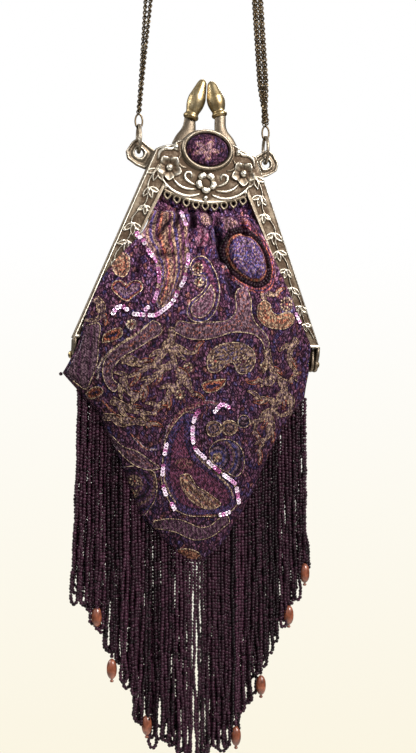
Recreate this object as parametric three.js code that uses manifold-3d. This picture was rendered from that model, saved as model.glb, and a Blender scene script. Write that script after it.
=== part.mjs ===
// Frame bag: a gathered brocade bag with a beaded fringe on a hinged cast brass frame, hung by a double chain.
// Millimetres, +Z up, front towards -Y. The origin is the underside of the chain where it hangs.
import * as THREE from "three";
import { mergeVertices } from "three/addons/utils/BufferGeometryUtils.js";
import Module from "manifold-3d";

const wasm = await Module();
wasm.setup();

// How the bag hangs: the bezel sits below the hook and the frame leans a little to its right
const HOOK_RADIUS = 18;
const BEZEL_X = -1.1;
const BEZEL_Z = -296.7;
const HANG_TILT = THREE.MathUtils.degToRad(2.1);
const GAP = 0.35;

// Cast frame, from the middle of the bezel: u to the right, v up, depths along Y for the front half
const FACE_Y = -7.2;
const GROUND_Y = -6.5;
const PLATE_BACK_Y = -4.4;
const SPLIT_Y = -0.25;
const RIM_WIDTH = 1.6;
const WALL = 2.2;
const SHOULDER_U = 30.3;
const SHOULDER_V = -0.9;
const CROTCH_U = 25.1;
const CROTCH_V = -24.7;
const ARM_END_V = -114.4;
const ARM_END_OUTER_U = 75.2;
const ARM_END_INNER_U = 67.6;
const TOP_EDGE = [
  { u: 25.2, v: 1.2 },
  { u: 21.4, v: 2.0 },
  { u: 17.6, v: 4.4 },
];

// Oval bezel with its cloth cabochon
const BEZEL_OUTER_U = 15.6;
const BEZEL_OUTER_V = 12.2;
const BEZEL_INNER_U = 13.1;
const BEZEL_INNER_V = 9.8;
const BEZEL_FRONT_Y = -9.2;
const BEZEL_SIDES = 20;
const CABOCHON_RISE = 2.9;

// Pierced scalloped edge that the cloth is sewn to
const SCALLOPS = 9;
const SCALLOP_SPAN_U = 23.1;
const SCALLOP_MIDDLE_V = -33.0;
const SCALLOP_END_RISE = 4.9;
const SCALLOP_RADIUS = 2.6;
const SEWING_HOLE_RADIUS = 1.05;

// Raised flowers, scrolls and the leafy vine
const FLOWERS = [
  { u: -22.6, v: -12.3, petals: 5, reach: 4.6, petal: 2.7, rise: 1.9, heart: 1.85 },
  { u: 22.6, v: -12.3, petals: 5, reach: 4.6, petal: 2.7, rise: 1.9, heart: 1.85 },
  { u: 0, v: -19.2, petals: 6, reach: 4.3, petal: 2.5, rise: 1.7, heart: 1.6 },
];
const SCROLLS = [
  // Upper curl
  { width: 0.9, route: [[29.4, -6], [28, -2.8], [25, -0.9], [21.6, -0.9], [19.2, 0.8], [17.9, -1.6]] },
  // Spiral
  { width: 0.8, route: [[8.4, -15.6], [10.4, -13.9], [12.5, -14.9], [12.7, -17.3], [10, -19.8], [6.6, -21.3]] },
  // Outer sweep
  { width: 0.9, route: [[25.8, -19.7], [22.4, -24], [16.2, -27.3], [10, -28.2], [4.2, -26.5]] },
  // Inner sweep
  { width: 0.8, route: [[19.3, -19], [17.1, -21.6], [12.5, -23.8], [6.6, -23.9]] },
];
const VINE_TOP_V = -17;
const VINE_BOTTOM_V = -108;
const VINE_BENDS = 7;
const VINE_SWING = 0.2;
const VINE_WIDTH = 0.7;
const LEAF_LENGTH = 2.9;
const LEAF_WIDTH = 1.1;
const LEAF_RISE = 0.85;
const LEAF_FAN = [-62, 0, 62];

// Kiss clasp fingers
const COLLAR_U = 8.3;
const COLLAR_V = 20.2;
const COLLAR_Y = -3.0;
const TIP_U = 2.1;
const TIP_V = 43.6;
const TIP_Y = -0.8;
const FINGER_SIDES = 10;
const FINGER_PROFILE = [
  { along: 0, radius: 3.8 },
  { along: 2.9, radius: 3.8 },
  { along: 3.7, radius: 3.2 },
  { along: 5.6, radius: 4.5 },
  { along: 9.8, radius: 5.6 },
  { along: 14.2, radius: 4.9 },
  { along: 18.5, radius: 3.3 },
  { along: 22.3, radius: 1.6 },
  { along: 24.1, radius: 0 },
];
const STEM_RADIUS = 2.6;
const ROOT = [[4.8, 8], [5.6, 17.4], [11.2, 17.4], [12.6, 12.6], [15.2, 8.2], [17.6, 4.3], [12, 2]];

// Ears, rings and end links
const EAR_U = 39.3;
const EAR_V = -3.2;
const EAR_HOLE_RADIUS = 2.7;
const EAR_RIM_RADIUS = 4.2;
const EAR_RIM_RISE = 0.6;
const EAR_OUTLINE = [
  [29, -1.6], [33.4, 1.4], [40.2, 6], [43.6, 3.4],
  [47.2, -2.6], [46.2, -7], [40.6, -10.6], [34.8, -12.6],
];
const EAR_FRONT_Y = 2.1;
const EAR_BACK_Y = 4.6;
const EAR_Y = (EAR_FRONT_Y + EAR_BACK_Y) / 2;
const RING_HEIGHT = 18;
const RING_DEPTH = 12.4;
const RING_WIRE = 1.9;
const RING_CURVE = 0.8;
const LINK_HEIGHT = 9.4;
const LINK_WIDTH = 5.4;
const LINK_WIRE = 1.1;

// Double chain
const CHAIN_WIDTH = 3.0;
const STRAND_APART = 3.5;
const SIDE_STEPS = 7;
const ARC_STEPS = 10;

// Hinges: the front cheek lies outside the back cheek on a riveted pin
const CHEEK_THICKNESS = 1.8;
const FRONT_CHEEK_U = 73.2;
const BACK_CHEEK_U = 70.6;
const HINGE_V = -124.4;
const CHEEK_RADIUS = 4.7;
const PIN_RADIUS = 1.4;
const PIN_HEAD_RADIUS = 2.3;

// Cloth body: a row per level with its left and right edge and the swell of the front and the back
const CLOTH_WALL = 1.2;
const CLOTH_COLUMNS = 18;
const GATHERS = 6;
const CLOTH_ROWS = [
  { v: -31, left: -25, right: 25, front: 4.0, back: 4.0, gather: 0 },
  { v: -37, left: -29.4, right: 29.4, front: 4.0, back: 4.0, gather: 0 },
  { v: -41, left: -32, right: 32, front: 7.4, back: 6.6, gather: 0.9 },
  { v: -46, left: -34.4, right: 34.4, front: 9.6, back: 8.2, gather: 1.7 },
  { v: -53, left: -37.7, right: 37.7, front: 11.4, back: 9.6, gather: 1.6 },
  { v: -73, left: -47.2, right: 47.2, front: 13.9, back: 11.8, gather: 0.8 },
  { v: -112, left: -65.6, right: 65.6, front: 14, back: 12.4, gather: 0 },
  { v: -122, left: -67.9, right: 67.9, front: 13.6, back: 12.2, gather: 0 },
  { v: -129.9, left: -68.4, right: 68.2, front: 13.2, back: 12, gather: 0 },
  { v: -135.3, left: -77.4, right: 70.6, front: 12.9, back: 11.8, gather: 0 },
  { v: -144.6, left: -71, right: 66.8, front: 12.2, back: 11.2, gather: 0 },
  { v: -157, left: -58.8, right: 58.8, front: 11.4, back: 10.5, gather: 0 },
  { v: -169, left: -53, right: 52, front: 10.6, back: 9.8, gather: 0 },
  { v: -190, left: -42.6, right: 42.2, front: 9.0, back: 8.5, gather: 0 },
  { v: -218, left: -29.6, right: 29, front: 6.6, back: 6.2, gather: 0 },
  { v: -234, left: -13.4, right: 19, front: 4.5, back: 4.3, gather: 0 },
  { v: -240, left: -6.6, right: 12.8, front: 3.4, back: 3.3, gather: 0 },
  { v: -244.4, left: -0.5, right: 8.6, front: 2.2, back: 2.2, gather: 0 },
];
const MOUTH_WIDTH = 3.2;
const MOUTH_END_V = -117;

// Padded oval on the front, and the fold that lies over the left arm
const OVAL = { u: 25.3, v: -63.2, long: 16, short: 12.5, turn: THREE.MathUtils.degToRad(-52), rise: 2.4 };
const FOLD_UNDER_Y = -8.1;
const FOLD_COLUMNS = 6;
const FOLD_ROWS = [
  { v: -52, left: -37.2, reach: 10, rise: 1.8 },
  { v: -60, left: -44.5, reach: 18, rise: 3.6 },
  { v: -69, left: -53, reach: 25, rise: 4.8 },
  { v: -80, left: -60, reach: 26, rise: 5.4 },
  { v: -92, left: -65.6, reach: 25, rise: 5.4 },
  { v: -104, left: -69.6, reach: 23, rise: 5.2 },
  { v: -113, left: -68.2, reach: 18, rise: 4.8 },
  { v: -123, left: -73, reach: 18, rise: 4.2 },
  { v: -134, left: -77.4, reach: 18, rise: 3 },
];

// Fringe, hung straight down from a tape that follows the curved hem, its outer strands leaning out a little
const HEM_TOP_V = -144.6;
const TAPE_BELOW = 1.4;
const TAPE_DROP = 3.4;
const TAPE_DEPTH = 3.4;
const STRANDS = 15;
const STRAND_DEPTH = 3.0;
const STRAND_GAP = 0.5;
const STRAND_LENGTH = 117.5;
const RIGHT_END_LENGTH = 104;
const LENGTH_PLAY = 2.6;
const SPLAY = 3.2;

// Oval drop beads under the fringe
const DROP_SIDES = 10;
const DROP_HALF = 6;
const DROP_RADIUS = 3;
const DROP_PROFILE = [
  { along: -7.8, radius: 0 },
  { along: -7.0, radius: 1.2 },
  { along: -6.0, radius: 0.9 },
  { along: -4.0, radius: 2.3 },
  { along: 0, radius: DROP_RADIUS },
  { along: 4.0, radius: 2.3 },
  { along: 6.0, radius: 0 },
];
const DROPS = [
  { name: "drop_bead_1", x: -66.2, z: -571.7 },
  { name: "drop_bead_2", x: -57.2, z: -602.7 },
  { name: "drop_bead_3", x: -36.4, z: -637.2 },
  { name: "drop_bead_4", x: 18.4, z: -648.1 },
  { name: "drop_bead_5", x: 34.1, z: -618.4 },
  { name: "drop_bead_6", x: 51.8, z: -576.8 },
  { name: "drop_bead_7", x: 62.1, z: -551.6 },
];

// Solids and conversions

/** Closed solid of a geometry, for joining and cutting. */
function solidOf(geometry) {
  const bare = geometry.clone();
  bare.deleteAttribute("normal");
  bare.deleteAttribute("uv");
  const merged = mergeVertices(bare, 1e-4);
  const index = merged.index.array;
  const kept = [];
  for (let i = 0; i < index.length; i += 3) {
    const [a, b, c] = [index[i], index[i + 1], index[i + 2]];
    if (a !== b && b !== c && c !== a) kept.push(a, b, c);
  }
  const vertProperties = new Float32Array(merged.attributes.position.array);
  const triVerts = new Uint32Array(kept);
  return new wasm.Manifold(new wasm.Mesh({ numProp: 3, vertProperties, triVerts }));
}

/** Geometry of a closed solid. */
function geometryOf(solid) {
  const mesh = solid.getMesh();
  const geometry = new THREE.BufferGeometry();
  geometry.setAttribute("position", new THREE.BufferAttribute(new Float32Array(mesh.vertProperties), 3));
  geometry.setIndex(new THREE.BufferAttribute(new Uint32Array(mesh.triVerts), 1));
  return geometry;
}

/** Several solids joined into one. */
function joined(solids) {
  return solids.reduce((whole, solid) => whole.add(solid));
}

/** Indexed geometry from points and triangles, turned so its faces look outward. */
function closedGeometry(points, triangles) {
  let volume = 0;
  for (const [a, b, c] of triangles) {
    volume += points[a].dot(points[b].clone().cross(points[c]));
  }
  const order = volume < 0 ? ([a, b, c]) => [a, c, b] : (corners) => corners;
  const geometry = new THREE.BufferGeometry().setFromPoints(points);
  geometry.setIndex(triangles.flatMap(order));
  return geometry;
}

/** Plate of a flat outline in u and v, lying between two depths. */
function plate(outline, frontY, backY) {
  const shape = new THREE.Shape(outline.map(([u, v]) => new THREE.Vector2(u, v)));
  const geometry = new THREE.ExtrudeGeometry(shape, { depth: backY - frontY, bevelEnabled: false });
  geometry.rotateX(Math.PI / 2);
  geometry.translate(0, backY, 0);
  return solidOf(geometry);
}

/** Outline of an oval about a point. */
function oval(u, v, radiusU, radiusV, sides) {
  return Array.from({ length: sides }, (_, k) => {
    const turn = (2 * Math.PI * k) / sides;
    return [u + radiusU * Math.cos(turn), v + radiusV * Math.sin(turn)];
  });
}

/** Turned piece on a straight axis from one point towards another. */
function turned(profile, sides, from, towards) {
  const points = profile.map(({ along, radius }) => new THREE.Vector2(radius, along));
  const geometry = new THREE.LatheGeometry(points, sides);
  const axis = towards.clone().sub(from).normalize();
  geometry.applyQuaternion(new THREE.Quaternion().setFromUnitVectors(new THREE.Vector3(0, 1, 0), axis));
  geometry.translate(from.x, from.y, from.z);
  return geometry;
}

/** Raised bead along a smooth route on the front face. */
function ridge(route, width, rise, steps) {
  const curve = new THREE.CatmullRomCurve3(route.map(([u, v]) => new THREE.Vector3(u, GROUND_Y, v)));
  const section = new THREE.Shape();
  section.moveTo(rise, 0);
  section.lineTo(0, width);
  section.lineTo(-rise, 0);
  section.lineTo(0, -width);
  return solidOf(new THREE.ExtrudeGeometry(section, { steps, extrudePath: curve, bevelEnabled: false }));
}

/** Oval wire ring about a centre, standing in the plane of two given directions. */
function wireRing(centre, tall, halfTall, across, halfAcross, wire, segments) {
  const side = 6;
  const normal = tall.clone().cross(across).normalize();
  const points = [];
  const triangles = [];
  for (let i = 0; i < segments; i += 1) {
    const turn = (2 * Math.PI * i) / segments;
    const spine = tall.clone().multiplyScalar((halfTall - wire / 2) * Math.sin(turn));
    spine.addScaledVector(across, (halfAcross - wire / 2) * Math.cos(turn));
    const outward = tall.clone().multiplyScalar(halfAcross * Math.sin(turn));
    outward.addScaledVector(across, halfTall * Math.cos(turn)).normalize();
    for (let j = 0; j < side; j += 1) {
      const around = (2 * Math.PI * j) / side;
      const point = centre.clone().add(spine).addScaledVector(outward, (wire / 2) * Math.cos(around));
      points.push(point.addScaledVector(normal, (wire / 2) * Math.sin(around)));
      const [a, b] = [i * side + j, i * side + ((j + 1) % side)];
      const [c, d] = [a, b].map((n) => (n + side) % (segments * side));
      triangles.push([a, c, b], [b, c, d]);
    }
  }
  return closedGeometry(points, triangles);
}

/** Closed body lofted through levels, each a front line and a back line that share their two ends. */
function loft(levels) {
  const columns = levels[0].front.length - 1;
  const around = 2 * columns;
  const points = [];
  const triangles = [];
  for (const { front, back } of levels) points.push(...front, ...back.slice(1, columns).reverse());
  for (let i = 0; i + 1 < levels.length; i += 1) {
    for (let j = 0; j < around; j += 1) {
      const [a, b] = [i * around + j, i * around + ((j + 1) % around)];
      triangles.push([a, b, a + around], [b, b + around, a + around]);
    }
  }
  for (const [base, flip] of [[0, true], [(levels.length - 1) * around, false]]) {
    for (let j = 0; j < columns; j += 1) {
      const [a, b] = [base + j, base + j + 1];
      const [c, d] = [base + ((around - j) % around), base + around - j - 1];
      for (const corners of [[a, b, c], [b, d, c]]) {
        if (new Set(corners).size === 3) triangles.push(flip ? [...corners].reverse() : corners);
      }
    }
  }
  return closedGeometry(points, triangles);
}

/** Place in the hung object of a point of the frame. */
function hung(u, y, v) {
  const x = BEZEL_X + u * Math.cos(HANG_TILT) + v * Math.sin(HANG_TILT);
  return new THREE.Vector3(x, y, BEZEL_Z - u * Math.sin(HANG_TILT) + v * Math.cos(HANG_TILT));
}

// Cast frame

/** Outer edge of the arm at a level. */
function outerU(v) {
  const share = (v - SHOULDER_V) / (ARM_END_V - SHOULDER_V);
  return SHOULDER_U + share * (ARM_END_OUTER_U - SHOULDER_U);
}

/** Inner edge of the arm at a level. */
function innerU(v) {
  const share = (v - CROTCH_V) / (ARM_END_V - CROTCH_V);
  return CROTCH_U + share * (ARM_END_INNER_U - CROTCH_U);
}

/** Level of the row of sewing holes. */
function sewingV(u) {
  return SCALLOP_MIDDLE_V + SCALLOP_END_RISE * (u / SCALLOP_SPAN_U) ** 2;
}

/** Both sides of an outline given for the right half, top to bottom. */
function bothSides(right) {
  return [...right, ...right.map(([u, v]) => [-u, v]).reverse().filter(([u]) => u !== 0)];
}

/** Top of the plaque from its middle to the shoulder, drawn in by a margin. */
function topEdge(margin) {
  const dome = [90, 72, 54, 36, 24].map((angle) => {
    const turn = THREE.MathUtils.degToRad(angle);
    return [(BEZEL_OUTER_U + 0.5 - margin) * Math.cos(turn), (BEZEL_OUTER_V + 0.5 - margin) * Math.sin(turn)];
  });
  dome[0][0] = 0;
  const slope = [...TOP_EDGE].reverse().map(({ u, v }) => [u - margin * 0.3, v - margin]);
  return [...dome, ...slope, [SHOULDER_U - margin, SHOULDER_V - margin * 1.1]];
}

/** Whole face of one half: plaque, pierced edge and both arms. */
function faceOutline() {
  const lower = [24, 18, 12, 6, 0].map((u) => [u, sewingV(u)]);
  const arm = [[ARM_END_OUTER_U, ARM_END_V], [ARM_END_INNER_U, ARM_END_V], [CROTCH_U, CROTCH_V]];
  return bothSides([...topEdge(0), ...arm, ...lower]);
}

/** Hollow behind the face, open to the inside of the frame. */
function hollowOutline() {
  const endV = ARM_END_V + WALL;
  return bothSides([...topEdge(WALL), [outerU(endV) - WALL, endV], [0, endV]]);
}

/** Ground sunk inside the raised border. */
function groundOutline() {
  const endV = ARM_END_V + RIM_WIDTH;
  const lower = [23, 15, 8, 0].map((u) => [u, sewingV(u) + SCALLOP_RADIUS + 0.6]);
  const arm = [[outerU(endV) - RIM_WIDTH, endV], [innerU(endV) + RIM_WIDTH, endV]];
  return bothSides([...topEdge(RIM_WIDTH), ...arm, [CROTCH_U + 1.8, CROTCH_V + 2.4], ...lower]);
}

/** Depths of a layer in the front half, or mirrored into the back half. */
function depths(frontY, backY, half) {
  return half === "front" ? [frontY, backY] : [-backY, -frontY];
}

/** Hinge cheeks of one half, left and right, with the holes for the pins. */
function cheeks(half) {
  const back = half === "front" ? 1 : -1;
  const neck = [[FACE_Y, ARM_END_V + 1.6], [SPLIT_Y, ARM_END_V + 1.6], [SPLIT_Y, ARM_END_V - GAP]];
  const eye = [40, 10, -20, -50, -80, -110, -140, -170].map((angle) => {
    const turn = THREE.MathUtils.degToRad(angle);
    return [CHEEK_RADIUS * Math.cos(turn), HINGE_V + CHEEK_RADIUS * Math.sin(turn)];
  });
  const outline = [...neck, ...eye, [FACE_Y, ARM_END_V - 3.6]];
  const shape = new THREE.Shape(outline.map(([y, v]) => new THREE.Vector2(back * y, v)));
  shape.holes.push(new THREE.Path(oval(0, HINGE_V, PIN_RADIUS + GAP, PIN_RADIUS + GAP, 10)
    .map(([y, v]) => new THREE.Vector2(y, v))));
  const inside = half === "front" ? FRONT_CHEEK_U : BACK_CHEEK_U;
  return [inside, -inside - CHEEK_THICKNESS].map((u) => {
    const geometry = new THREE.ExtrudeGeometry(shape, { depth: CHEEK_THICKNESS, bevelEnabled: false });
    const axes = [new THREE.Vector3(0, 1, 0), new THREE.Vector3(0, 0, 1), new THREE.Vector3(1, 0, 0)];
    geometry.applyMatrix4(new THREE.Matrix4().makeBasis(...axes));
    geometry.translate(u, 0, 0);
    return solidOf(geometry);
  });
}

/** Clasp finger: a flared root, a stem, a collar and a bulb. */
function finger(half) {
  const [u, y] = half === "front" ? [1, 1] : [-1, -1];
  const collar = new THREE.Vector3(u * COLLAR_U, y * COLLAR_Y, COLLAR_V);
  const tip = new THREE.Vector3(u * TIP_U, y * TIP_Y, TIP_V);
  const foot = new THREE.Vector3(u * COLLAR_U, y * COLLAR_Y, 8);
  const stem = [
    { along: 0, radius: 0 },
    { along: 0, radius: STEM_RADIUS },
    { along: COLLAR_V - 7, radius: STEM_RADIUS },
    { along: COLLAR_V - 7, radius: 0 },
  ];
  const bulb = [{ along: 0, radius: 0 }, ...FINGER_PROFILE];
  const root = plate(ROOT.map(([a, b]) => [u * a, b]), ...depths(GROUND_Y, COLLAR_Y + 0.4, half));
  return [root, solidOf(turned(stem, 8, foot, collar)), solidOf(turned(bulb, FINGER_SIDES, collar, tip))];
}

/** Plain casting shared by both halves. */
function halfFrame(half) {
  const face = plate(faceOutline(), ...depths(FACE_Y, SPLIT_Y, half));
  const hollow = plate(hollowOutline(), ...depths(PLATE_BACK_Y, 1, half));
  const ground = plate(groundOutline(), ...depths(FACE_Y - 1, GROUND_Y, half));
  const scallops = [];
  const holes = [];
  for (let k = 0; k < SCALLOPS; k += 1) {
    const u = SCALLOP_SPAN_U * ((2 * k) / (SCALLOPS - 1) - 1);
    const v = sewingV(u);
    const lobe = oval(u, v, SCALLOP_RADIUS, SCALLOP_RADIUS, 8);
    scallops.push(plate(lobe, ...depths(GROUND_Y, PLATE_BACK_Y, half)));
    holes.push(plate(oval(u, v, SEWING_HOLE_RADIUS, SEWING_HOLE_RADIUS, 6), ...depths(FACE_Y - 1, 1, half)));
  }
  const casting = half === "front" ? face.subtract(hollow).subtract(ground) : face.subtract(hollow);
  return joined([casting, ...scallops, ...cheeks(half), ...finger(half)]).subtract(joined(holes));
}

/** Rounded lump of relief standing on the ground of the face. */
function lump(u, v, radiusU, rise, radiusV, turn) {
  const geometry = new THREE.SphereGeometry(1, 6, 4);
  geometry.rotateX(Math.PI / 2);
  geometry.scale(radiusU, rise, radiusV);
  geometry.rotateY(-turn);
  geometry.translate(u, GROUND_Y, v);
  return solidOf(geometry);
}

/** Flower of rounded petals about a raised heart. */
function flower({ u, v, petals, reach, petal, rise, heart }) {
  const lumps = [lump(u, v, heart, rise + 0.7, heart, 0)];
  for (let k = 0; k < petals; k += 1) {
    const turn = (2 * Math.PI * (k + 0.25)) / petals;
    const [petalU, petalV] = [u + reach * Math.cos(turn), v + reach * Math.sin(turn)];
    lumps.push(lump(petalU, petalV, petal * 1.05, rise, petal * 0.85, turn));
  }
  return joined(lumps);
}

/** Pointed leaf with a keel. */
function leaf(u, v, turn) {
  const geometry = new THREE.OctahedronGeometry(1);
  geometry.scale(LEAF_LENGTH, LEAF_RISE, LEAF_WIDTH);
  geometry.translate(LEAF_LENGTH * 0.8, 0, 0);
  geometry.rotateY(-turn);
  geometry.translate(u, GROUND_Y, v);
  return solidOf(geometry);
}

/** Winding stem down one arm with three leaves in each bend. */
function vine(side) {
  const route = [];
  const leaves = [];
  for (let k = 0; k <= VINE_BENDS; k += 1) {
    const v = VINE_TOP_V + (k / VINE_BENDS) * (VINE_BOTTOM_V - VINE_TOP_V);
    const wide = outerU(v) - Math.max(innerU(v), CROTCH_U);
    const middle = outerU(v) - wide / 2;
    const swing = k % 2 ? 1 : -1;
    route.push([side * (middle + swing * VINE_SWING * wide), v]);
    if (k === VINE_BENDS) break;
    for (const spread of LEAF_FAN) {
      const turn = THREE.MathUtils.degToRad(-112 + swing * 90 + spread * (0.55 + wide / 32));
      const [u, heading] = side > 0 ? [middle, turn] : [-middle, Math.PI - turn];
      leaves.push(leaf(u + side * swing * -0.1 * wide, v - 4, heading));
    }
  }
  return [ridge(route, VINE_WIDTH, 0.7, 12), ...leaves];
}

/** Front half: plaque with bezel and relief, pierced edge, arms and the right clasp finger. */
function frontFrame() {
  const outer = oval(0, 0, BEZEL_OUTER_U, BEZEL_OUTER_V, BEZEL_SIDES);
  const inner = oval(0, 0, BEZEL_INNER_U, BEZEL_INNER_V, BEZEL_SIDES);
  const bezel = plate(outer, BEZEL_FRONT_Y, GROUND_Y + 0.4).subtract(plate(inner, BEZEL_FRONT_Y - 1, GROUND_Y));
  const relief = FLOWERS.map(flower);
  for (const { width, route } of SCROLLS) {
    for (const side of [1, -1]) {
      relief.push(ridge(route.map(([u, v]) => [side * u, v]), width, 0.95, 6));
    }
  }
  return joined([halfFrame("front"), bezel, ...relief, ...vine(1), ...vine(-1)]);
}

/** Circle about the hole of one ear. */
function earCircle(side, radius) {
  return oval(side * EAR_U, EAR_V, radius, radius, 10);
}

/** Back half: the plain casting with the two pierced ears and the left clasp finger. */
function backFrame() {
  const ears = [1, -1].flatMap((side) => [
    plate(EAR_OUTLINE.map(([u, v]) => [side * u, v]), EAR_FRONT_Y, EAR_BACK_Y),
    plate(earCircle(side, EAR_RIM_RADIUS), EAR_FRONT_Y - EAR_RIM_RISE, EAR_BACK_Y),
  ]);
  const holes = [1, -1].map((side) => plate(earCircle(side, EAR_HOLE_RADIUS), 0, 9));
  return joined([halfFrame("back"), ...ears]).subtract(joined(holes));
}

/** Domed cloth button held in the bezel. */
function cabochon() {
  const dome = [[0, 0], [1, 0], [1, 0.28], [0.93, 0.55], [0.72, 0.84], [0.4, 0.97], [0, 1]];
  const geometry = new THREE.LatheGeometry(dome.map(([r, h]) => new THREE.Vector2(r, h)), 16);
  geometry.scale(BEZEL_INNER_U - GAP, CABOCHON_RISE, BEZEL_INNER_V - GAP);
  geometry.rotateX(Math.PI);
  geometry.translate(0, GROUND_Y - GAP, 0);
  return geometry;
}

/** Riveted pin through both cheeks of one hinge. */
function hingePin(side) {
  const start = BACK_CHEEK_U - GAP;
  const end = FRONT_CHEEK_U + CHEEK_THICKNESS + GAP;
  const profile = [
    { along: start - 1.1, radius: 0 },
    { along: start - 1.1, radius: PIN_HEAD_RADIUS },
    { along: start, radius: PIN_HEAD_RADIUS },
    { along: start, radius: PIN_RADIUS },
    { along: end, radius: PIN_RADIUS },
    { along: end, radius: PIN_HEAD_RADIUS },
    { along: end + 1.0, radius: PIN_HEAD_RADIUS * 0.85 },
    { along: end + 1.8, radius: 0 },
  ];
  return turned(profile, 8, new THREE.Vector3(0, 0, HINGE_V), new THREE.Vector3(side, 0, HINGE_V));
}

// Ring, end link and chain

const EARS = { left: hung(-EAR_U, EAR_Y, EAR_V), right: hung(EAR_U, EAR_Y, EAR_V) };
const RING_FOOT = EAR_HOLE_RADIUS - GAP - RING_WIRE / 2 - RING_CURVE;
const RING_TOP = RING_FOOT + RING_HEIGHT - RING_WIRE;
const LINK_FOOT = RING_TOP - RING_WIRE / 2 - GAP - LINK_WIRE / 2;
const LINK_TOP = LINK_FOOT + LINK_HEIGHT - LINK_WIRE;
const CHAIN_FOOT = LINK_TOP + LINK_WIRE / 2 + GAP;
const ALONG_X = new THREE.Vector3(1, 0, 0);
const ALONG_Y = new THREE.Vector3(0, 1, 0);
const ALONG_Z = new THREE.Vector3(0, 0, 1);

/** Oval ring through an ear, seen edge on from the front. */
function earRing(ear) {
  const centre = ear.clone().addScaledVector(ALONG_Z, (RING_FOOT + RING_TOP) / 2);
  return wireRing(centre, ALONG_Z, RING_HEIGHT / 2, ALONG_Y, RING_DEPTH / 2, RING_WIRE, 14);
}

/** Small link that joins both strands of the chain to a ring. */
function endLink(ear) {
  const centre = ear.clone().addScaledVector(ALONG_Z, (LINK_FOOT + LINK_TOP) / 2);
  return wireRing(centre, ALONG_Z, LINK_HEIGHT / 2, ALONG_X, LINK_WIDTH / 2, LINK_WIRE, 12);
}

/** Route of one strand: up from the left link, over the hook and down to the right link. */
class StrandRoute extends THREE.Curve {
  constructor(apart) {
    super();
    this.apart = apart;
    this.arcCentre = new THREE.Vector2(0, -HOOK_RADIUS);
    this.arcRadius = HOOK_RADIUS + CHAIN_WIDTH / 2;
    this.foot = [EARS.left, EARS.right].map((ear) => new THREE.Vector2(ear.x, ear.z + CHAIN_FOOT));
    this.angle = this.foot.map((foot, k) => {
      const spoke = foot.clone().sub(this.arcCentre);
      const swing = Math.acos(this.arcRadius / spoke.length());
      return Math.atan2(spoke.y, spoke.x) + (k === 0 ? -swing : swing);
    });
    if (this.angle[0] < 0) this.angle[0] += 2 * Math.PI;
  }

  getUtoTmapping(u) {
    return u;
  }

  onArc(angle) {
    const spoke = new THREE.Vector2(Math.cos(angle), Math.sin(angle));
    return this.arcCentre.clone().addScaledVector(spoke, this.arcRadius);
  }

  getPoint(t, target = new THREE.Vector3()) {
    const step = t * (2 * SIDE_STEPS + ARC_STEPS);
    const arcShare = THREE.MathUtils.clamp((step - SIDE_STEPS) / ARC_STEPS, 0, 1);
    const angle = this.angle[0] + arcShare * (this.angle[1] - this.angle[0]);
    const spot = this.onArc(angle);
    const side = step < SIDE_STEPS ? 0 : 1;
    const rest = side === 0 ? step / SIDE_STEPS : (2 * SIDE_STEPS + ARC_STEPS - step) / SIDE_STEPS;
    const climb = Math.min(rest, 1);
    if (climb < 1) spot.lerpVectors(this.foot[side], this.onArc(this.angle[side]), climb);
    const turn = (Math.PI / 2) * Math.sin(Math.PI * climb) ** 2;
    const outward = new THREE.Vector2(Math.cos(angle), Math.sin(angle));
    outward.multiplyScalar(this.apart * Math.sin(turn));
    const y = EAR_Y * (1 - climb) + this.apart * Math.cos(turn);
    return target.set(spot.x + outward.x, y, spot.y + outward.y);
  }
}

/** Chain strand as a plain tube of its width. */
function strand(apart) {
  const circle = oval(0, 0, CHAIN_WIDTH / 2, CHAIN_WIDTH / 2, 8);
  const section = new THREE.Shape(circle.map(([a, b]) => new THREE.Vector2(a, b)));
  const steps = 2 * SIDE_STEPS + ARC_STEPS;
  const extrudePath = new StrandRoute(apart);
  return new THREE.ExtrudeGeometry(section, { steps, extrudePath, bevelEnabled: false });
}

// Cloth

/** Swell of the padded oval at a point of the front. */
function ovalSwell(u, v) {
  const [du, dv] = [u - OVAL.u, v - OVAL.v];
  const along = (du * Math.cos(OVAL.turn) + dv * Math.sin(OVAL.turn)) / OVAL.long;
  const across = (-du * Math.sin(OVAL.turn) + dv * Math.cos(OVAL.turn)) / OVAL.short;
  return OVAL.rise * Math.max(0, 1 - along ** 2 - across ** 2);
}

/** Cloth body with its surface drawn in by an inset, open upward when drawn in. */
function clothBody(inset) {
  const levels = CLOTH_ROWS.map((row, k) => {
    const first = inset > 0 && k === 0;
    const last = inset > 0 && k === CLOTH_ROWS.length - 1;
    const v = row.v + (first ? 4 : 0) + (last ? 2.6 : 0);
    const middle = (row.left + row.right) / 2;
    const half = Math.max((row.right - row.left) / 2 - inset * 1.7, 0.8);
    const line = (sign, swell) => Array.from({ length: CLOTH_COLUMNS + 1 }, (_, j) => {
      const s = Math.sin((Math.PI / 2) * ((2 * j) / CLOTH_COLUMNS - 1));
      const round = Math.sqrt(Math.max(0, 1 - s ** 4));
      const fold = row.gather * Math.cos(Math.PI * GATHERS * s) * (1 - s ** 2);
      const u = middle + half * s;
      const pad = sign < 0 ? ovalSwell(u, v) : 0;
      const depth = Math.max(swell - inset + fold, 0.5) * round + pad * round;
      return new THREE.Vector3(u, sign * depth, v);
    });
    return { front: line(-1, row.front), back: line(1, row.back) };
  });
  return solidOf(loft(levels));
}

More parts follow.
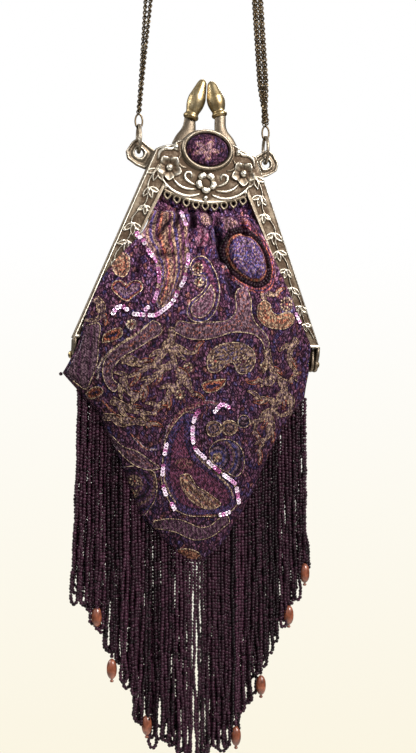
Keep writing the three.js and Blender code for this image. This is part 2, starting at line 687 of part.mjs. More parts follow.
/** Fold of the front that lies over the left arm, drawn in by an inset. */
function armFold(inset) {
  const levels = FOLD_ROWS.map(({ v, left, reach, rise }, k) => {
    const end = k === 0 ? -inset : k === FOLD_ROWS.length - 1 ? inset : 0;
    const high = Math.max(rise - 2 * inset, 0.25);
    const line = (swell) => Array.from({ length: FOLD_COLUMNS + 1 }, (_, j) => {
      const s = j / FOLD_COLUMNS;
      const round = Math.sqrt(1 - (1 - s) ** 2) * Math.sqrt(1 - s ** 8);
      const u = left + inset * 1.2 + s * (reach - inset * 1.2);
      return new THREE.Vector3(u, FOLD_UNDER_Y - inset - swell * round, v + end);
    });
    return { front: line(high), back: line(0.02) };
  });
  return solidOf(loft(levels));
}

/** Hollow cloth bag, open along its mouth from hinge to hinge. */
function clothBag() {
  const outer = clothBody(0).add(armFold(0));
  const inner = clothBody(CLOTH_WALL).add(armFold(CLOTH_WALL));
  const mouthOutline = [[-90, MOUTH_END_V], [90, MOUTH_END_V], [90, -20], [-90, -20]];
  const mouth = plate(mouthOutline, -MOUTH_WIDTH / 2, MOUTH_WIDTH / 2);
  return outer.subtract(inner).subtract(mouth);
}

// Fringe and drop beads

/** Level of a line through points at a place along it. */
function levelAt(points, x) {
  const next = points.findIndex((point) => Math.abs(point.x - points[0].x) >= Math.abs(x - points[0].x));
  const k = Math.max(1, next < 0 ? points.length - 1 : next);
  const [a, b] = [points[k - 1], points[k]];
  return a.z + ((x - a.x) / (b.x - a.x)) * (b.z - a.z);
}

/** Top of the fringe's tape on one side, from the middle of the hem out to its end. */
function tapeLine(side) {
  const rows = CLOTH_ROWS.filter((row) => row.v <= HEM_TOP_V).reverse();
  const ends = rows.map((row) => hung(side < 0 ? row.left : row.right, 0, row.v - TAPE_BELOW));
  const middle = (rows[0].left + rows[0].right) / 2 + side * STRAND_GAP;
  return [hung(middle, 0, rows[0].v - TAPE_BELOW), ...ends];
}

/** One side of the fringe: strands hung from a tape along the hem. */
function fringe(side) {
  const line = tapeLine(side);
  const [start, end] = [line[0].x, line[line.length - 1].x];
  const lowered = [...line].reverse().map(({ x, z }) => [x, z - TAPE_DROP]);
  const tape = plate([...line.map(({ x, z }) => [x, z]), ...lowered], -TAPE_DEPTH / 2, TAPE_DEPTH / 2);
  const pitch = Math.abs(end - start) / STRANDS;
  const half = pitch / 2 - STRAND_GAP / 2;
  const strandOf = (bead) => Math.min(STRANDS - 1, Math.floor(((bead.x - start) / (end - start)) * STRANDS));
  const strands = Array.from({ length: STRANDS }, (_, k) => {
    const share = (k + 0.5) / STRANDS;
    const x = start + share * (end - start);
    const last = side > 0 && k === STRANDS - 1;
    const length = (last ? RIGHT_END_LENGTH : STRAND_LENGTH) + LENGTH_PLAY * Math.sin(2.4 * k + side);
    const drop = DROPS.find((bead) => side * (bead.x - start) > 0 && strandOf(bead) === k);
    const lean = side * SPLAY * share ** 3;
    const beside = DROPS.filter((bead) => Math.abs(bead.x - x - lean) < half + DROP_RADIUS + GAP);
    const overBeads = beside.map((bead) => bead.z + DROP_HALF + GAP);
    const bottom = drop ? drop.z + DROP_HALF + GAP : Math.max(levelAt(line, x) - length, ...overBeads);
    const outline = [
      [x - half, levelAt(line, x - half) - TAPE_DROP / 2],
      [x + half, levelAt(line, x + half) - TAPE_DROP / 2],
      [x + half + lean, bottom + 2.2],
      [drop ? drop.x : x + lean, bottom],
      [x - half + lean, bottom + 2.2],
    ];
    return plate(outline, -STRAND_DEPTH / 2, STRAND_DEPTH / 2);
  });
  return joined([tape, ...strands]);
}

/** Oval bead with a small stop bead under it. */
function dropBead({ x, z }) {
  return turned(DROP_PROFILE, DROP_SIDES, new THREE.Vector3(x, 0, z), new THREE.Vector3(x, 0, z + 1));
}

// Assembly

const FINISHES = {
  castBrass: { color: "#9a8a62", roughness: 0.42, metalness: 1 },
  polishedBrass: { color: "#b8964c", roughness: 0.3, metalness: 1 },
  chainBrass: { color: "#6b5d42", roughness: 0.45, metalness: 1 },
  brocade: { color: "#4a2f4c", roughness: 0.9, metalness: 0 },
  seedBeads: { color: "#2f1b27", roughness: 0.25, metalness: 0 },
  clayBeads: { color: "#8f4a33", roughness: 0.45, metalness: 0 },
};

/** Named piece in a finish of its own. */
function piece(name, geometry, finish) {
  geometry.computeVertexNormals();
  const mesh = new THREE.Mesh(geometry, new THREE.MeshStandardMaterial(FINISHES[finish]));
  mesh.name = name;
  return mesh;
}

const bag = new THREE.Group();
bag.name = "frame_bag";
const framed = new THREE.Group();
framed.name = "framed_bag";
framed.position.set(BEZEL_X, 0, BEZEL_Z);
framed.rotation.y = HANG_TILT;
framed.add(
  piece("front_frame", geometryOf(frontFrame()), "castBrass"),
  piece("back_frame", geometryOf(backFrame()), "castBrass"),
  piece("cabochon", cabochon(), "brocade"),
  piece("left_hinge_pin", hingePin(-1), "polishedBrass"),
  piece("right_hinge_pin", hingePin(1), "polishedBrass"),
  piece("cloth_bag", geometryOf(clothBag()), "brocade"),
);
bag.add(
  framed,
  piece("left_ring", earRing(EARS.left), "polishedBrass"),
  piece("right_ring", earRing(EARS.right), "polishedBrass"),
  piece("left_end_link", endLink(EARS.left), "chainBrass"),
  piece("right_end_link", endLink(EARS.right), "chainBrass"),
  piece("chain_front_strand", strand(-STRAND_APART / 2), "chainBrass"),
  piece("chain_back_strand", strand(STRAND_APART / 2), "chainBrass"),
  piece("left_fringe", geometryOf(fringe(-1)), "seedBeads"),
  piece("right_fringe", geometryOf(fringe(1)), "seedBeads"),
  ...DROPS.map((drop) => piece(drop.name, dropBead(drop), "clayBeads")),
);

export default bag;
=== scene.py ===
"""Frame bag in paisley brocade on a hinged cast brass frame, with sequins, a bead fringe and a double chain.

All sizes are in millimetres in the part's own frame: +Z up, front towards -Y, origin at the hook.
"""
import logging
import math
from dataclasses import dataclass, field
from enum import Enum

import bpy
import numpy as np
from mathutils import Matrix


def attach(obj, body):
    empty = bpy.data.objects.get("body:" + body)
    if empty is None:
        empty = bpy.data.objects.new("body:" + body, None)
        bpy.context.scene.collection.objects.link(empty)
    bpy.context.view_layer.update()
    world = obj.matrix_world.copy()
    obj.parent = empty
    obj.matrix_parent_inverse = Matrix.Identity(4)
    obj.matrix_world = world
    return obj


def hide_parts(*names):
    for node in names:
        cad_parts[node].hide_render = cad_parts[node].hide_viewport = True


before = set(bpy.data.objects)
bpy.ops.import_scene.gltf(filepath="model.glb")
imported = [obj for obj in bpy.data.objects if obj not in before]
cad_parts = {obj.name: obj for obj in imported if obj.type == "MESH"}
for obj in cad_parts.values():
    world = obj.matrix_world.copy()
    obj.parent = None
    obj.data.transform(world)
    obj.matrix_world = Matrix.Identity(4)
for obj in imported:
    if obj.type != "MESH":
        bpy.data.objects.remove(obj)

LOG = logging.getLogger("frame_bag")
Array = np.ndarray
Pair = tuple[float, float]
Triple = tuple[float, float, float]
X_AXIS, Y_AXIS, Z_AXIS = np.eye(3)
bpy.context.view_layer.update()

# Where the frame hangs: the middle of its bezel, its lean to the right and its ear holes
BEZEL_X, BEZEL_Z = -1.1, -296.7
TILT = math.radians(2.1)
EAR_HOLE = (39.3, -3.2)
PHOTO_HEIGHT = 753


class Side(Enum):
    """Left or right of the bag, as a sign along X."""

    LEFT = -1
    RIGHT = 1


class Half(Enum):
    """Front or back half of the hinged frame, as a sign along Y."""

    FRONT = -1
    BACK = 1


# Shapes


@dataclass
class Surface:
    """Points with faces, and a number or a colour at each point that the finish reads."""

    points: Array
    quads: Array
    tris: Array = field(default_factory=lambda: np.zeros((0, 3), int))
    tone: Array | float = 0.5
    colour: Array | float = 1.0

    def __post_init__(self) -> None:
        """Gives every point a tone and a colour of its own."""
        count = len(self.points)
        self.tone = np.array(np.broadcast_to(self.tone, count), float)
        self.colour = np.array(np.broadcast_to(self.colour, (count, 3)), float)

    def outward(self) -> "Surface":
        """The same closed surface with its faces turned to look outward, by the sign of its volume.

        Returns:
            The surface itself.
        """
        corners = np.concatenate([self.quads[:, [0, 1, 2]], self.quads[:, [0, 2, 3]], self.tris])
        a, b, c = np.moveaxis(self.points[corners], 1, 0)
        if np.einsum("ij,ij->", a, np.cross(b, c)) < 0:
            self.quads, self.tris = self.quads[:, ::-1], self.tris[:, ::-1]
        return self


def join(parts: list[Surface]) -> Surface:
    """One surface of several.

    Args:
        parts: the surfaces to put together.
    Returns:
        A surface with all their points and faces.
    """
    starts = np.cumsum([0] + [len(part.points) for part in parts[:-1]])
    return Surface(
        np.concatenate([part.points for part in parts]),
        np.concatenate([part.quads + start for part, start in zip(parts, starts)]),
        np.concatenate([part.tris + start for part, start in zip(parts, starts)]),
        np.concatenate([part.tone for part in parts]),
        np.concatenate([part.colour for part in parts]),
    )


def grid_faces(rows: int, cols: int, wrap_rows: bool = False, wrap_cols: bool = False) -> Array:
    """Quads between neighbours of a grid of points stored row by row.

    Args:
        rows, cols: the grid's size.
        wrap_rows, wrap_cols: join the last row or column to the first.
    Returns:
        An array of four point numbers per face.
    """
    r = np.arange(rows if wrap_rows else rows - 1)[:, None]
    c = np.arange(cols if wrap_cols else cols - 1)[None, :]
    r_next, c_next = (r + 1) % rows, (c + 1) % cols
    corners = [r * cols + c, r * cols + c_next, r_next * cols + c_next, r_next * cols + c]
    return np.stack(corners, axis=-1).reshape(-1, 4)


def tube(grid: Array, tone: Array | float = 0.5) -> Surface:
    """Closed skin of a grid whose columns go round and whose first and last rows are capped.

    Args:
        grid: points by row, column and axis.
        tone: one number, or one per row and column.
    Returns:
        The closed surface, facing outward.
    """
    rows, cols = grid.shape[:2]
    ring = np.arange(cols)
    start, end = rows * cols, rows * cols + 1
    last = (rows - 1) * cols
    caps = np.concatenate([
        np.stack([np.full(cols, start), np.roll(ring, -1), ring], axis=-1),
        np.stack([np.full(cols, end), last + ring, last + np.roll(ring, -1)], axis=-1),
    ])
    points = np.concatenate([grid.reshape(-1, 3), grid[[0, -1]].mean(axis=1)])
    tones = np.broadcast_to(np.asarray(tone, float), (rows, cols))
    tones = np.concatenate([tones.ravel(), tones[[0, -1]].mean(axis=1)])
    return Surface(points, grid_faces(rows, cols, wrap_cols=True), caps, tones).outward()


def unit(vectors: Array) -> Array:
    """Vectors scaled to length one along their last axis."""
    return vectors / np.maximum(np.linalg.norm(vectors, axis=-1, keepdims=True), 1e-12)


def ring_skin(grid: Array, tone: Array | float = 0.5) -> Surface:
    """Closed skin of a grid that joins up both along its rows and along its columns.

    Args:
        grid: points by row, column and axis.
        tone: one number, or one per row and column.
    Returns:
        The closed surface, facing outward.
    """
    size = grid.shape[:2]
    tones = np.broadcast_to(tone, size).ravel()
    return Surface(grid.reshape(-1, 3), grid_faces(*size, True, True), tone=tones).outward()


def once_round(count: int) -> Array:
    """Angles evenly spaced once round, without the end."""
    return np.linspace(0, 2 * np.pi, count, endpoint=False)


def turned(profile: Array | tuple, sides: int, base: Array, axis: Array, tone: float = 0.5) -> Surface:
    """Turned body: a profile of distance along an axis and radius, carried round that axis.

    Args:
        profile: rows of distance along the axis and radius.
        sides: points round the axis.
        base: where the axis starts.
        axis: its direction.
        tone: number for the finish.
    Returns:
        The closed surface.
    """
    along, radius = np.asarray(profile, float).T[..., None, None]
    axis = unit(np.asarray(axis, float))
    first = unit(np.cross(axis, Y_AXIS if abs(axis[1]) < 0.9 else X_AXIS))
    turn = once_round(sides)[:, None]
    spoke = np.cos(turn) * first + np.sin(turn) * np.cross(axis, first)
    return tube(np.asarray(base, float) + along * axis + radius * spoke, tone)


def swept(path: Array, width: Array | float, depth: Array | float, facing: Array, sides: int,
          closed: bool = False, tone: Array | float = 0.5) -> Surface:
    """Rounded section carried along a path, wide across the path and deep along a facing direction.

    Args:
        path: points of the path.
        width, depth: half sizes of the oval section, one number or one per point.
        facing: direction that the depth lies along, one vector or one per point.
        sides: points round the section.
        closed: the path joins its own start.
        tone: one number, or one per point of the path.
    Returns:
        The closed surface.
    """
    steps = np.roll(path, -1, axis=0) - np.roll(path, 1, axis=0) if closed else np.gradient(path, axis=0)
    along = unit(steps)
    across = unit(np.cross(along, np.broadcast_to(facing, path.shape)))
    normal = np.cross(across, along)
    turn = once_round(sides)[:, None]
    w, d, tones = (np.broadcast_to(value, len(path))[:, None] for value in (width, depth, tone))
    ring = w[..., None] * np.cos(turn) * across[:, None] + d[..., None] * np.sin(turn) * normal[:, None]
    return (ring_skin if closed else tube)(path[:, None] + ring, tones * np.ones(sides))


def repeated(template: Surface, places: Array, axes: Array, tones: Array,
             colours: Array | float = 1.0) -> Surface:
    """Many copies of a small surface, each in its own place and axes.

    Args:
        template: the small surface, about its own origin.
        places: a point per copy.
        axes: a 3 by 3 matrix per copy, whose rows are the copy's own axes.
        tones: a number per copy.
        colours: a colour per copy.
    Returns:
        All the copies as one surface.
    """
    count, size = len(places), len(template.points)
    points = places[:, None] + np.einsum("pk,nkx->npx", template.points, axes)
    shift = (np.arange(count) * size)[:, None, None]
    return Surface(
        points.reshape(-1, 3),
        (template.quads[None] + shift).reshape(-1, 4),
        (template.tris[None] + shift).reshape(-1, 3),
        np.repeat(tones, size),
        np.repeat(np.broadcast_to(colours, (count, 3)), size, axis=0),
    )


def smooth_at(x: Array, knots: Array, values: Array) -> Array:
    """Smooth curve through a table: cubic pieces whose slopes come from the neighbouring rows.

    Args:
        x: where to read it.
        knots: the table's rising positions.
        values: the table's values.
    Returns:
        The curve's values.
    """
    order = np.argsort(knots)
    k, y = np.asarray(knots, float)[order], np.asarray(values, float)[order]
    slope = np.gradient(y, k)
    x = np.clip(x, k[0], k[-1])
    i = np.clip(np.searchsorted(k, x) - 1, 0, len(k) - 2)
    h = k[i + 1] - k[i]
    t = (x - k[i]) / h
    rise = (1 + 2 * t) * (1 - t) ** 2 * y[i] + t**2 * (3 - 2 * t) * y[i + 1]
    return rise + t * (1 - t) ** 2 * h * slope[i] + t**2 * (t - 1) * h * slope[i + 1]


def smooth_step(x: Array, low: float, high: float) -> Array:
    """Eased ramp from 0 at low to 1 at high."""
    t = np.clip((x - low) / (high - low), 0, 1)
    return t * t * (3 - 2 * t)


def dome(x: Array) -> Array:
    """Height of a unit half-round at a distance from its middle, and zero beyond it."""
    return np.sqrt(np.clip(1 - x**2, 0, 1))


def band(gap: Array, start: float, stop: float, rise: float) -> Array:
    """Raised band between two distances from an edge, with eased sides."""
    up, down = smooth_step(gap, start - 0.35, start + 0.05), smooth_step(gap, stop - 0.2, stop + 0.25)
    return rise * up * (1 - down)


def hung(u: Array, y: Array, v: Array) -> Array:
    """Points of the leaning frame, u right and v up from its bezel, in the part's frame.

    Args:
        u, v: distances along the frame's own face.
        y: depth.
    Returns:
        The points.
    """
    u, y, v = np.broadcast_arrays(np.asarray(u, float), np.asarray(y, float), np.asarray(v, float))
    x = BEZEL_X + u * math.cos(TILT) + v * math.sin(TILT)
    return np.stack([x, y, BEZEL_Z - u * math.sin(TILT) + v * math.cos(TILT)], axis=-1)


def hung_axis(u: Array, y: Array, v: Array) -> Array:
    """Directions of the leaning frame in the part's frame."""
    return hung(u, y, v) - hung(0, 0, 0)


def reach_along(line: Array) -> Array:
    """Distance along a line at each of its points."""
    return np.concatenate([[0], np.cumsum(np.linalg.norm(np.diff(line, axis=0), axis=1))])


def read_at(at: Array, line: Array) -> Array:
    """Points of a line at given distances along it."""
    reach = reach_along(line)
    return np.stack([np.interp(at, reach, axis) for axis in line.T], -1)


def spline(points: Array | tuple, count: int) -> Array:
    """Evenly read smooth curve through flat points.

    Args:
        points: the points in order.
        count: how many to return.
    Returns:
        Points along the curve.
    """
    p = np.array(points, float)
    reach = reach_along(p)
    at = np.linspace(0, reach[-1], count)
    return np.stack([smooth_at(at, reach, axis) for axis in p.T], -1)


def within(points: Array, outline: Array) -> Array:
    """Which flat points lie inside a closed outline, by the number of its edges to their right.

    Args:
        points: the flat points.
        outline: points round the outline.
    Returns:
        True for each point inside.
    """
    end = np.roll(outline, -1, axis=0)
    step = end - outline
    p = points[:, None]
    crossed = (outline[:, 1] > p[..., 1]) != (end[:, 1] > p[..., 1])
    slope = step[:, 0] / np.where(step[:, 1] == 0, 1e-9, step[:, 1])
    crossed &= p[..., 0] < outline[:, 0] + (p[..., 1] - outline[:, 1]) * slope
    return crossed.sum(axis=1) % 2 == 1


# Finishes


def linear(code: str) -> tuple[float, float, float, float]:
    """Linear colour of an sRGB hex value."""
    parts = [int(code[k:k + 2], 16) / 255 for k in (1, 3, 5)]
    return (*[c / 12.92 if c <= 0.04045 else ((c + 0.055) / 1.055) ** 2.4 for c in parts], 1.0)


def add_node(tree: bpy.types.NodeTree, kind: str, settings: dict | None = None,
             links: dict | None = None) -> bpy.types.Node:
    """Adds a node with its settings and links.

    Args:
        tree: the material's nodes.
        kind: the node's class, without the first part that all of them share.
        settings: properties, input values, or stops of a colour ramp.
        links: input name to the socket that feeds it, or to a node whose first output feeds it.
    Returns:
        The node.
    """
    node = tree.nodes.new("ShaderNode" + kind)
    for name, value in (settings or {}).items():
        if name == "stops":
            ramp = node.color_ramp
            while len(ramp.elements) < len(value):
                ramp.elements.new(0.5)
            for element, (position, code) in zip(ramp.elements, value):
                element.position, element.color = position, linear(code)
        elif isinstance(name, str) and hasattr(node, name):
            setattr(node, name, value)
        else:
            node.inputs[name].default_value = value
    for name, source in (links or {}).items():
        socket = source.outputs[0] if isinstance(source, bpy.types.Node) else source
        tree.links.new(socket, node.inputs[name])
    return node


def put_in_scene(name: str, data: bpy.types.ID) -> bpy.types.Object:
    """New object of a mesh, camera or lamp, linked to the scene.

    Args:
        name: the object's name.
        data: what it shows.
    Returns:
        The object.
    """
    made = bpy.data.objects.new(name, data)
    bpy.context.scene.collection.objects.link(made)
    return made


def per_mm(size: float) -> float:
    """Texture scale on metre coordinates that gives a feature of this size in millimetres."""
    return 1000.0 / size


@dataclass(frozen=True)
class Finish:
    """A real material as Blender nodes."""

    name: str

    def start(self) -> tuple[bpy.types.Material, bpy.types.NodeTree, bpy.types.NodeSocket]:
        """New material with its empty node tree and its object coordinates.

        Returns:
            The material, its nodes and the coordinates' socket.
        """
        material = bpy.data.materials.new(self.name)
        material.use_nodes = True
        tree = material.node_tree
        tree.nodes.clear()
        return material, tree, add_node(tree, "TexCoord").outputs["Object"]

    def shade(self, tree: bpy.types.NodeTree, settings: dict, links: dict,
              bump: tuple[bpy.types.Node, float, float] | None = None) -> None:
        """Ends the tree with its shader.

        Args:
            tree: the material's nodes.
            settings, links: values of the shader's inputs and what feeds them.
            bump: texture that raises the surface, its strength and its depth in millimetres.
        """
        if bump is not None:
            height, strength, depth = bump
            raised = {"Strength": strength, "Distance": depth / 1000}
            links = {**links, "Normal": add_node(tree, "Bump", raised, {"Height": height})}
        shader = add_node(tree, "BsdfPrincipled", settings, links)
        add_node(tree, "OutputMaterial", {}, {"Surface": shader})

    def build(self) -> bpy.types.Material:
        """The material itself."""
        raise NotImplementedError


@dataclass(frozen=True)
class AgedBrass(Finish):
    """Cast or drawn brass with dark patina in its hollows and bare metal where hands have rubbed it."""

    hollow: str = "#463a2f"
    body: str = "#837868"
    rubbed: str = "#e4decf"
    rough_hollow: float = 0.6
    rough_rubbed: float = 0.28
    # the stipple of the casting sand, drawn about three times as coarse as real so that it shows
    stipple_mm: float = 1.0
    stipple: float = 0.8

    def build(self) -> bpy.types.Material:
        """Colour and roughness follow the relief's tone, broken by blotches, over a fine cast stipple.

        Returns:
            The material.
        """
        material, tree, where = self.start()
        tone = add_node(tree, "Attribute", {"attribute_name": "tone"})
        blotch = add_node(tree, "TexNoise", {"Scale": per_mm(7), "Detail": 5.0}, {"Vector": where})
        grain = add_node(tree, "TexNoise", {"Scale": per_mm(self.stipple_mm), "Detail": 3.0},
                         {"Vector": where})
        patches = add_node(tree, "MixRGB", {"Fac": 0.5}, {"Color1": blotch, "Color2": grain})
        limits = {"From Min": 0.25, "From Max": 0.75, "To Min": -0.24, "To Max": 0.24}
        spread = add_node(tree, "MapRange", limits, {"Value": patches})
        worn = add_node(tree, "Math", {"operation": "ADD", "use_clamp": True},
                        {0: tone.outputs["Fac"], 1: spread})
        stops = [(0.12, self.hollow), (0.5, self.body), (0.9, self.rubbed)]
        colour = add_node(tree, "ValToRGB", {"stops": stops}, {"Fac": worn})
        rough = add_node(tree, "MapRange", {"To Min": self.rough_hollow, "To Max": self.rough_rubbed},
                         {"Value": worn})
        self.shade(tree, {"Metallic": 1.0}, {"Base Color": colour, "Roughness": rough},
                   (grain, self.stipple, 0.16))
        return material


@dataclass(frozen=True)
class Brocade(Finish):
    """Jacquard-woven paisley brocade: silk-like twill that mixes aubergine, navy, rust and khaki yarns.

    The small leaves, flecks and twill are drawn about three times as coarse as real yarn so that they show.
    """

    leaves: tuple = ((0.2, "#6c4860"), (0.36, "#7a5062"), (0.46, "#464270"), (0.55, "#784a5c"),
                     (0.64, "#846278"), (0.72, "#4e4a78"), (0.82, "#865a54"))
    between: tuple = ((0.02, "#543a58"), (0.09, "#9c86a0"), (0.2, "#ffffff"))
    rings: tuple = ((0.0, "#8a5446"), (0.07, "#221420"), (0.12, "#72594e"), (0.2, "#58364e"),
                    (0.23, "#9c866c"), (0.255, "#58364e"), (0.3, "#6e5860"), (0.42, "#6a4a5c"),
                    (0.45, "#9c866c"), (0.475, "#38222e"))
    flecks: tuple = ((0.38, "#261826"), (0.5, "#887888"), (0.61, "#ffffff"))
    # axis, its range in metres and the factor on the colour at both ends: painted shade low down and by the
    # left arm, and painted light towards the top
    painted_light_fades: tuple = (("Z", -0.52, -0.43, 0.74, 1.0), ("Z", -0.405, -0.35, 1.0, 2.6),
                    ("X", -0.07, -0.035, 0.75, 1.0))

    def build(self) -> bpy.types.Material:
        """Figures in their own yarns over a ground of small leaves, ringed drops behind, flecks and twill.

        Returns:
            The material.
        """
        material, tree, where = self.start()
        sway = add_node(tree, "TexNoise", {"Scale": per_mm(9), "Detail": 2.0}, {"Vector": where})
        warp = add_node(tree, "MixRGB", {"blend_type": "ADD", "Fac": 0.003},
                        {"Color1": where, "Color2": sway.outputs["Color"]})
        tall = add_node(tree, "Mapping", {"Scale": (1.0, 1.0, 0.62)}, {"Vector": warp})
        cell = {"Scale": per_mm(1.8), "Randomness": 1.0}
        cells = add_node(tree, "TexVoronoi", cell, {"Vector": tall})
        leaves = add_node(tree, "ValToRGB", {"stops": self.leaves}, {"Fac": cells.outputs["Color"]})
        rims = add_node(tree, "TexVoronoi", {"feature": "DISTANCE_TO_EDGE", **cell}, {"Vector": tall})
        between = add_node(tree, "ValToRGB", {"stops": self.between}, {"Fac": rims})
        whole = {"blend_type": "MULTIPLY", "Fac": 1.0}
        ground = add_node(tree, "MixRGB", whole, {"Color1": leaves, "Color2": between})
        split = add_node(tree, "SeparateXYZ", {}, {"Vector": where})
        behind = add_node(tree, "MapRange", {"From Min": 0.002, "From Max": 0.003},
                          {"Value": split.outputs["Y"]})
        bend = add_node(tree, "TexNoise", {"Scale": per_mm(26), "Detail": 1.0}, {"Vector": where})
        curl = add_node(tree, "MixRGB", {"blend_type": "ADD", "Fac": 0.034},
                        {"Color1": tall, "Color2": bend.outputs["Color"]})
        drops = add_node(tree, "TexVoronoi", {"Scale": per_mm(21), "Randomness": 0.9}, {"Vector": curl})
        figures = add_node(tree, "ValToRGB", {"stops": self.rings}, {"Fac": drops})
        inside = add_node(tree, "Math", {"operation": "LESS_THAN", 1: 0.48}, {0: drops})
        shown = add_node(tree, "Math", {"operation": "MULTIPLY"}, {0: inside, 1: behind})
        ground = add_node(tree, "MixRGB", {}, {"Fac": shown, "Color1": ground, "Color2": figures})
        dye = add_node(tree, "Attribute", {"attribute_name": "thread"})
        bare = add_node(tree, "Attribute", {"attribute_name": "tone"})
        cloth = add_node(tree, "MixRGB", {}, {"Fac": bare.outputs["Fac"], "Color1": dye, "Color2": ground})
        fleck = add_node(tree, "TexNoise", {"Scale": per_mm(1.0), "Detail": 2.0, "Roughness": 0.7},
                         {"Vector": tall})
        yarn = add_node(tree, "ValToRGB", {"stops": self.flecks}, {"Fac": fleck})
        mixed = add_node(tree, "MixRGB", {"blend_type": "MULTIPLY", "Fac": 0.95},
                         {"Color1": cloth, "Color2": yarn})
        # painted shade and painted light: the colour is darkened low down and by the left arm, and brightened
        # towards the top
        for axis, low, high, below, above in self.painted_light_fades:
            limits = {"From Min": low, "From Max": high, "To Min": below, "To Max": above}
            fade = add_node(tree, "MapRange", limits, {"Value": split.outputs[axis]})
            mixed = add_node(tree, "MixRGB", whole, {"Color1": mixed, "Color2": fade})
        bands = {"wave_type": "BANDS", "bands_direction": "DIAGONAL", "Scale": per_mm(2.4), "Distortion": 1.5}
        twill = add_node(tree, "TexWave", bands, {"Vector": where})
        relief = add_node(tree, "MixRGB", {"blend_type": "ADD", "Fac": 0.8},
                          {"Color1": twill, "Color2": fleck.outputs["Color"]})
        self.shade(tree, {"Roughness": 0.8, "Specular IOR Level": 0.1}, {"Base Color": mixed},
                   (relief, 0.6, 0.22))
        return material


@dataclass(frozen=True)
class SeedGlass(Finish):
    """Pressed glass seed beads: dark aubergine glass with a wet gloss, no two of quite the same depth."""

    dark: str = "#0f060b"
    light: str = "#402433"

    def build(self) -> bpy.types.Material:
        """Colour by each bead's own tone under a hard gloss.

        Returns:
            The material.
        """
        material, tree, _ = self.start()
        tone = add_node(tree, "Attribute", {"attribute_name": "tone"})
        stops = [(0.0, self.dark), (1.0, self.light)]
        colour = add_node(tree, "ValToRGB", {"stops": stops}, {"Fac": tone.outputs["Fac"]})
        self.shade(tree, {"Roughness": 0.28, "IOR": 1.52, "Specular IOR Level": 0.14}, {"Base Color": colour})
        return material


@dataclass(frozen=True)
class SequinFilm(Finish):
    """Pearl-coated plastic film stamped into cups: lilac with a white to magenta flash."""

    def build(self) -> bpy.types.Material:
        """Each sequin's own colour with a half metallic, polished face.

        Returns:
            The material.
        """
        material, tree, _ = self.start()
        dye = add_node(tree, "Attribute", {"attribute_name": "thread"})
        self.shade(tree, {"Metallic": 0.45, "Roughness": 0.2, "Coat Weight": 0.6}, {"Base Color": dye})
        return material


@dataclass(frozen=True)
class GlazedClay(Finish):
    """Turned clay beads with a thin brown glaze, paler where the glaze thins."""

    glaze: tuple = ((0.3, "#4f2a1c"), (0.55, "#7a4430"), (0.75, "#985f45"))

    def build(self) -> bpy.types.Material:
        """Mottled terracotta under a soft gloss.

        Returns:
            The material.
        """
        material, tree, where = self.start()
        cloud = add_node(tree, "TexNoise", {"Scale": per_mm(3), "Detail": 6.0}, {"Vector": where})
        colour = add_node(tree, "ValToRGB", {"stops": self.glaze}, {"Fac": cloud})
        self.shade(tree, {"Roughness": 0.34, "Coat Weight": 0.3}, {"Base Color": colour}, (cloud, 0.2, 0.1))
        return material


@dataclass(frozen=True)
class PaleFloor(Finish):
    """Matt off-white painted floor."""

    def build(self) -> bpy.types.Material:
        """Nearly even paint with a faint cloud.

        Returns:
            The material.
        """
        material, tree, where = self.start()
        cloud = add_node(tree, "TexNoise", {"Scale": 3.0}, {"Vector": where})
        colour = add_node(tree, "ValToRGB", {"stops": [(0.3, "#efece4"), (0.7, "#f6f3ec")]}, {"Fac": cloud})
        self.shade(tree, {"Roughness": 0.8}, {"Base Color": colour})
        return material


@dataclass
class Workshop:
    """Turns surfaces into pieces of the part, with one material per finish."""

    made: dict[str, bpy.types.Material] = field(default_factory=dict)

    def material(self, finish: Finish) -> bpy.types.Material:
        """The finish's material, made once.

        Args:
            finish: the finish.
        Returns:
            Its material.
        """
        if finish.name not in self.made:
            self.made[finish.name] = finish.build()
        return self.made[finish.name]

    def piece(self, name: str, surface: Surface, finish: Finish, slot: str,
              replaces: tuple[str, ...] = ()) -> bpy.types.Object:
        """Makes a mesh piece that rides on the part.

        Args:
            name: the piece's name.
            surface: its shape in millimetres.
            finish: its finish.
            slot: the record's material slot; not used.
            replaces: the part's solids that it stands for.
        Returns:
            The new object.
        """
        mesh = bpy.data.meshes.new(name)
        mesh.vertices.add(len(surface.points))
        mesh.vertices.foreach_set("co", (surface.points * 0.001).astype(np.float32).ravel())
        corners = np.concatenate([surface.quads.ravel(), surface.tris.ravel()]).astype(np.int32)
        quads, tris = len(surface.quads), len(surface.tris)
        starts = np.concatenate([np.arange(quads) * 4, quads * 4 + np.arange(tris) * 3]).astype(np.int32)
        mesh.loops.add(len(corners))
        mesh.loops.foreach_set("vertex_index", corners)
        mesh.polygons.add(quads + tris)
        mesh.polygons.foreach_set("loop_start", starts)
        mesh.polygons.foreach_set("use_smooth", np.ones(quads + tris, bool))
        mesh.update(calc_edges=True)
        tones = mesh.attributes.new("tone", "FLOAT", "POINT")
        tones.data.foreach_set("value", surface.tone.astype(np.float32))
        alpha = np.ones((len(surface.points), 1))
        colours = np.concatenate([surface.colour, alpha], axis=1).astype(np.float32)
        mesh.color_attributes.new("thread", "FLOAT_COLOR", "POINT").data.foreach_set("color", colours.ravel())
        mesh.materials.append(self.material(finish))
        made = put_in_scene(name, mesh)
        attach(made, "root")
        if replaces:
            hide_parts(*replaces)
        LOG.info("%s: %d triangles", name, 2 * quads + tris)
        return made


CAST_BRASS = AgedBrass("aged cast brass")
RUBBED_BRASS = AgedBrass("rubbed clasp brass", "#4e402c", "#937f5a", "#dccfaa", 0.48, 0.3, 1.2, 0.3)
WIRE_BRASS = AgedBrass("darkened brass wire", "#2a231a", "#5a4d3a", "#a8987a", 0.5, 0.3, 0.6, 0.1)
PAISLEY = Brocade("woven paisley brocade")
SEED_BEADS = SeedGlass("pressed glass seed beads")
SEQUIN_FILM = SequinFilm("pearl sequin film")
CLAY_BEADS = GlazedClay("glazed clay beads")


# Cast frame


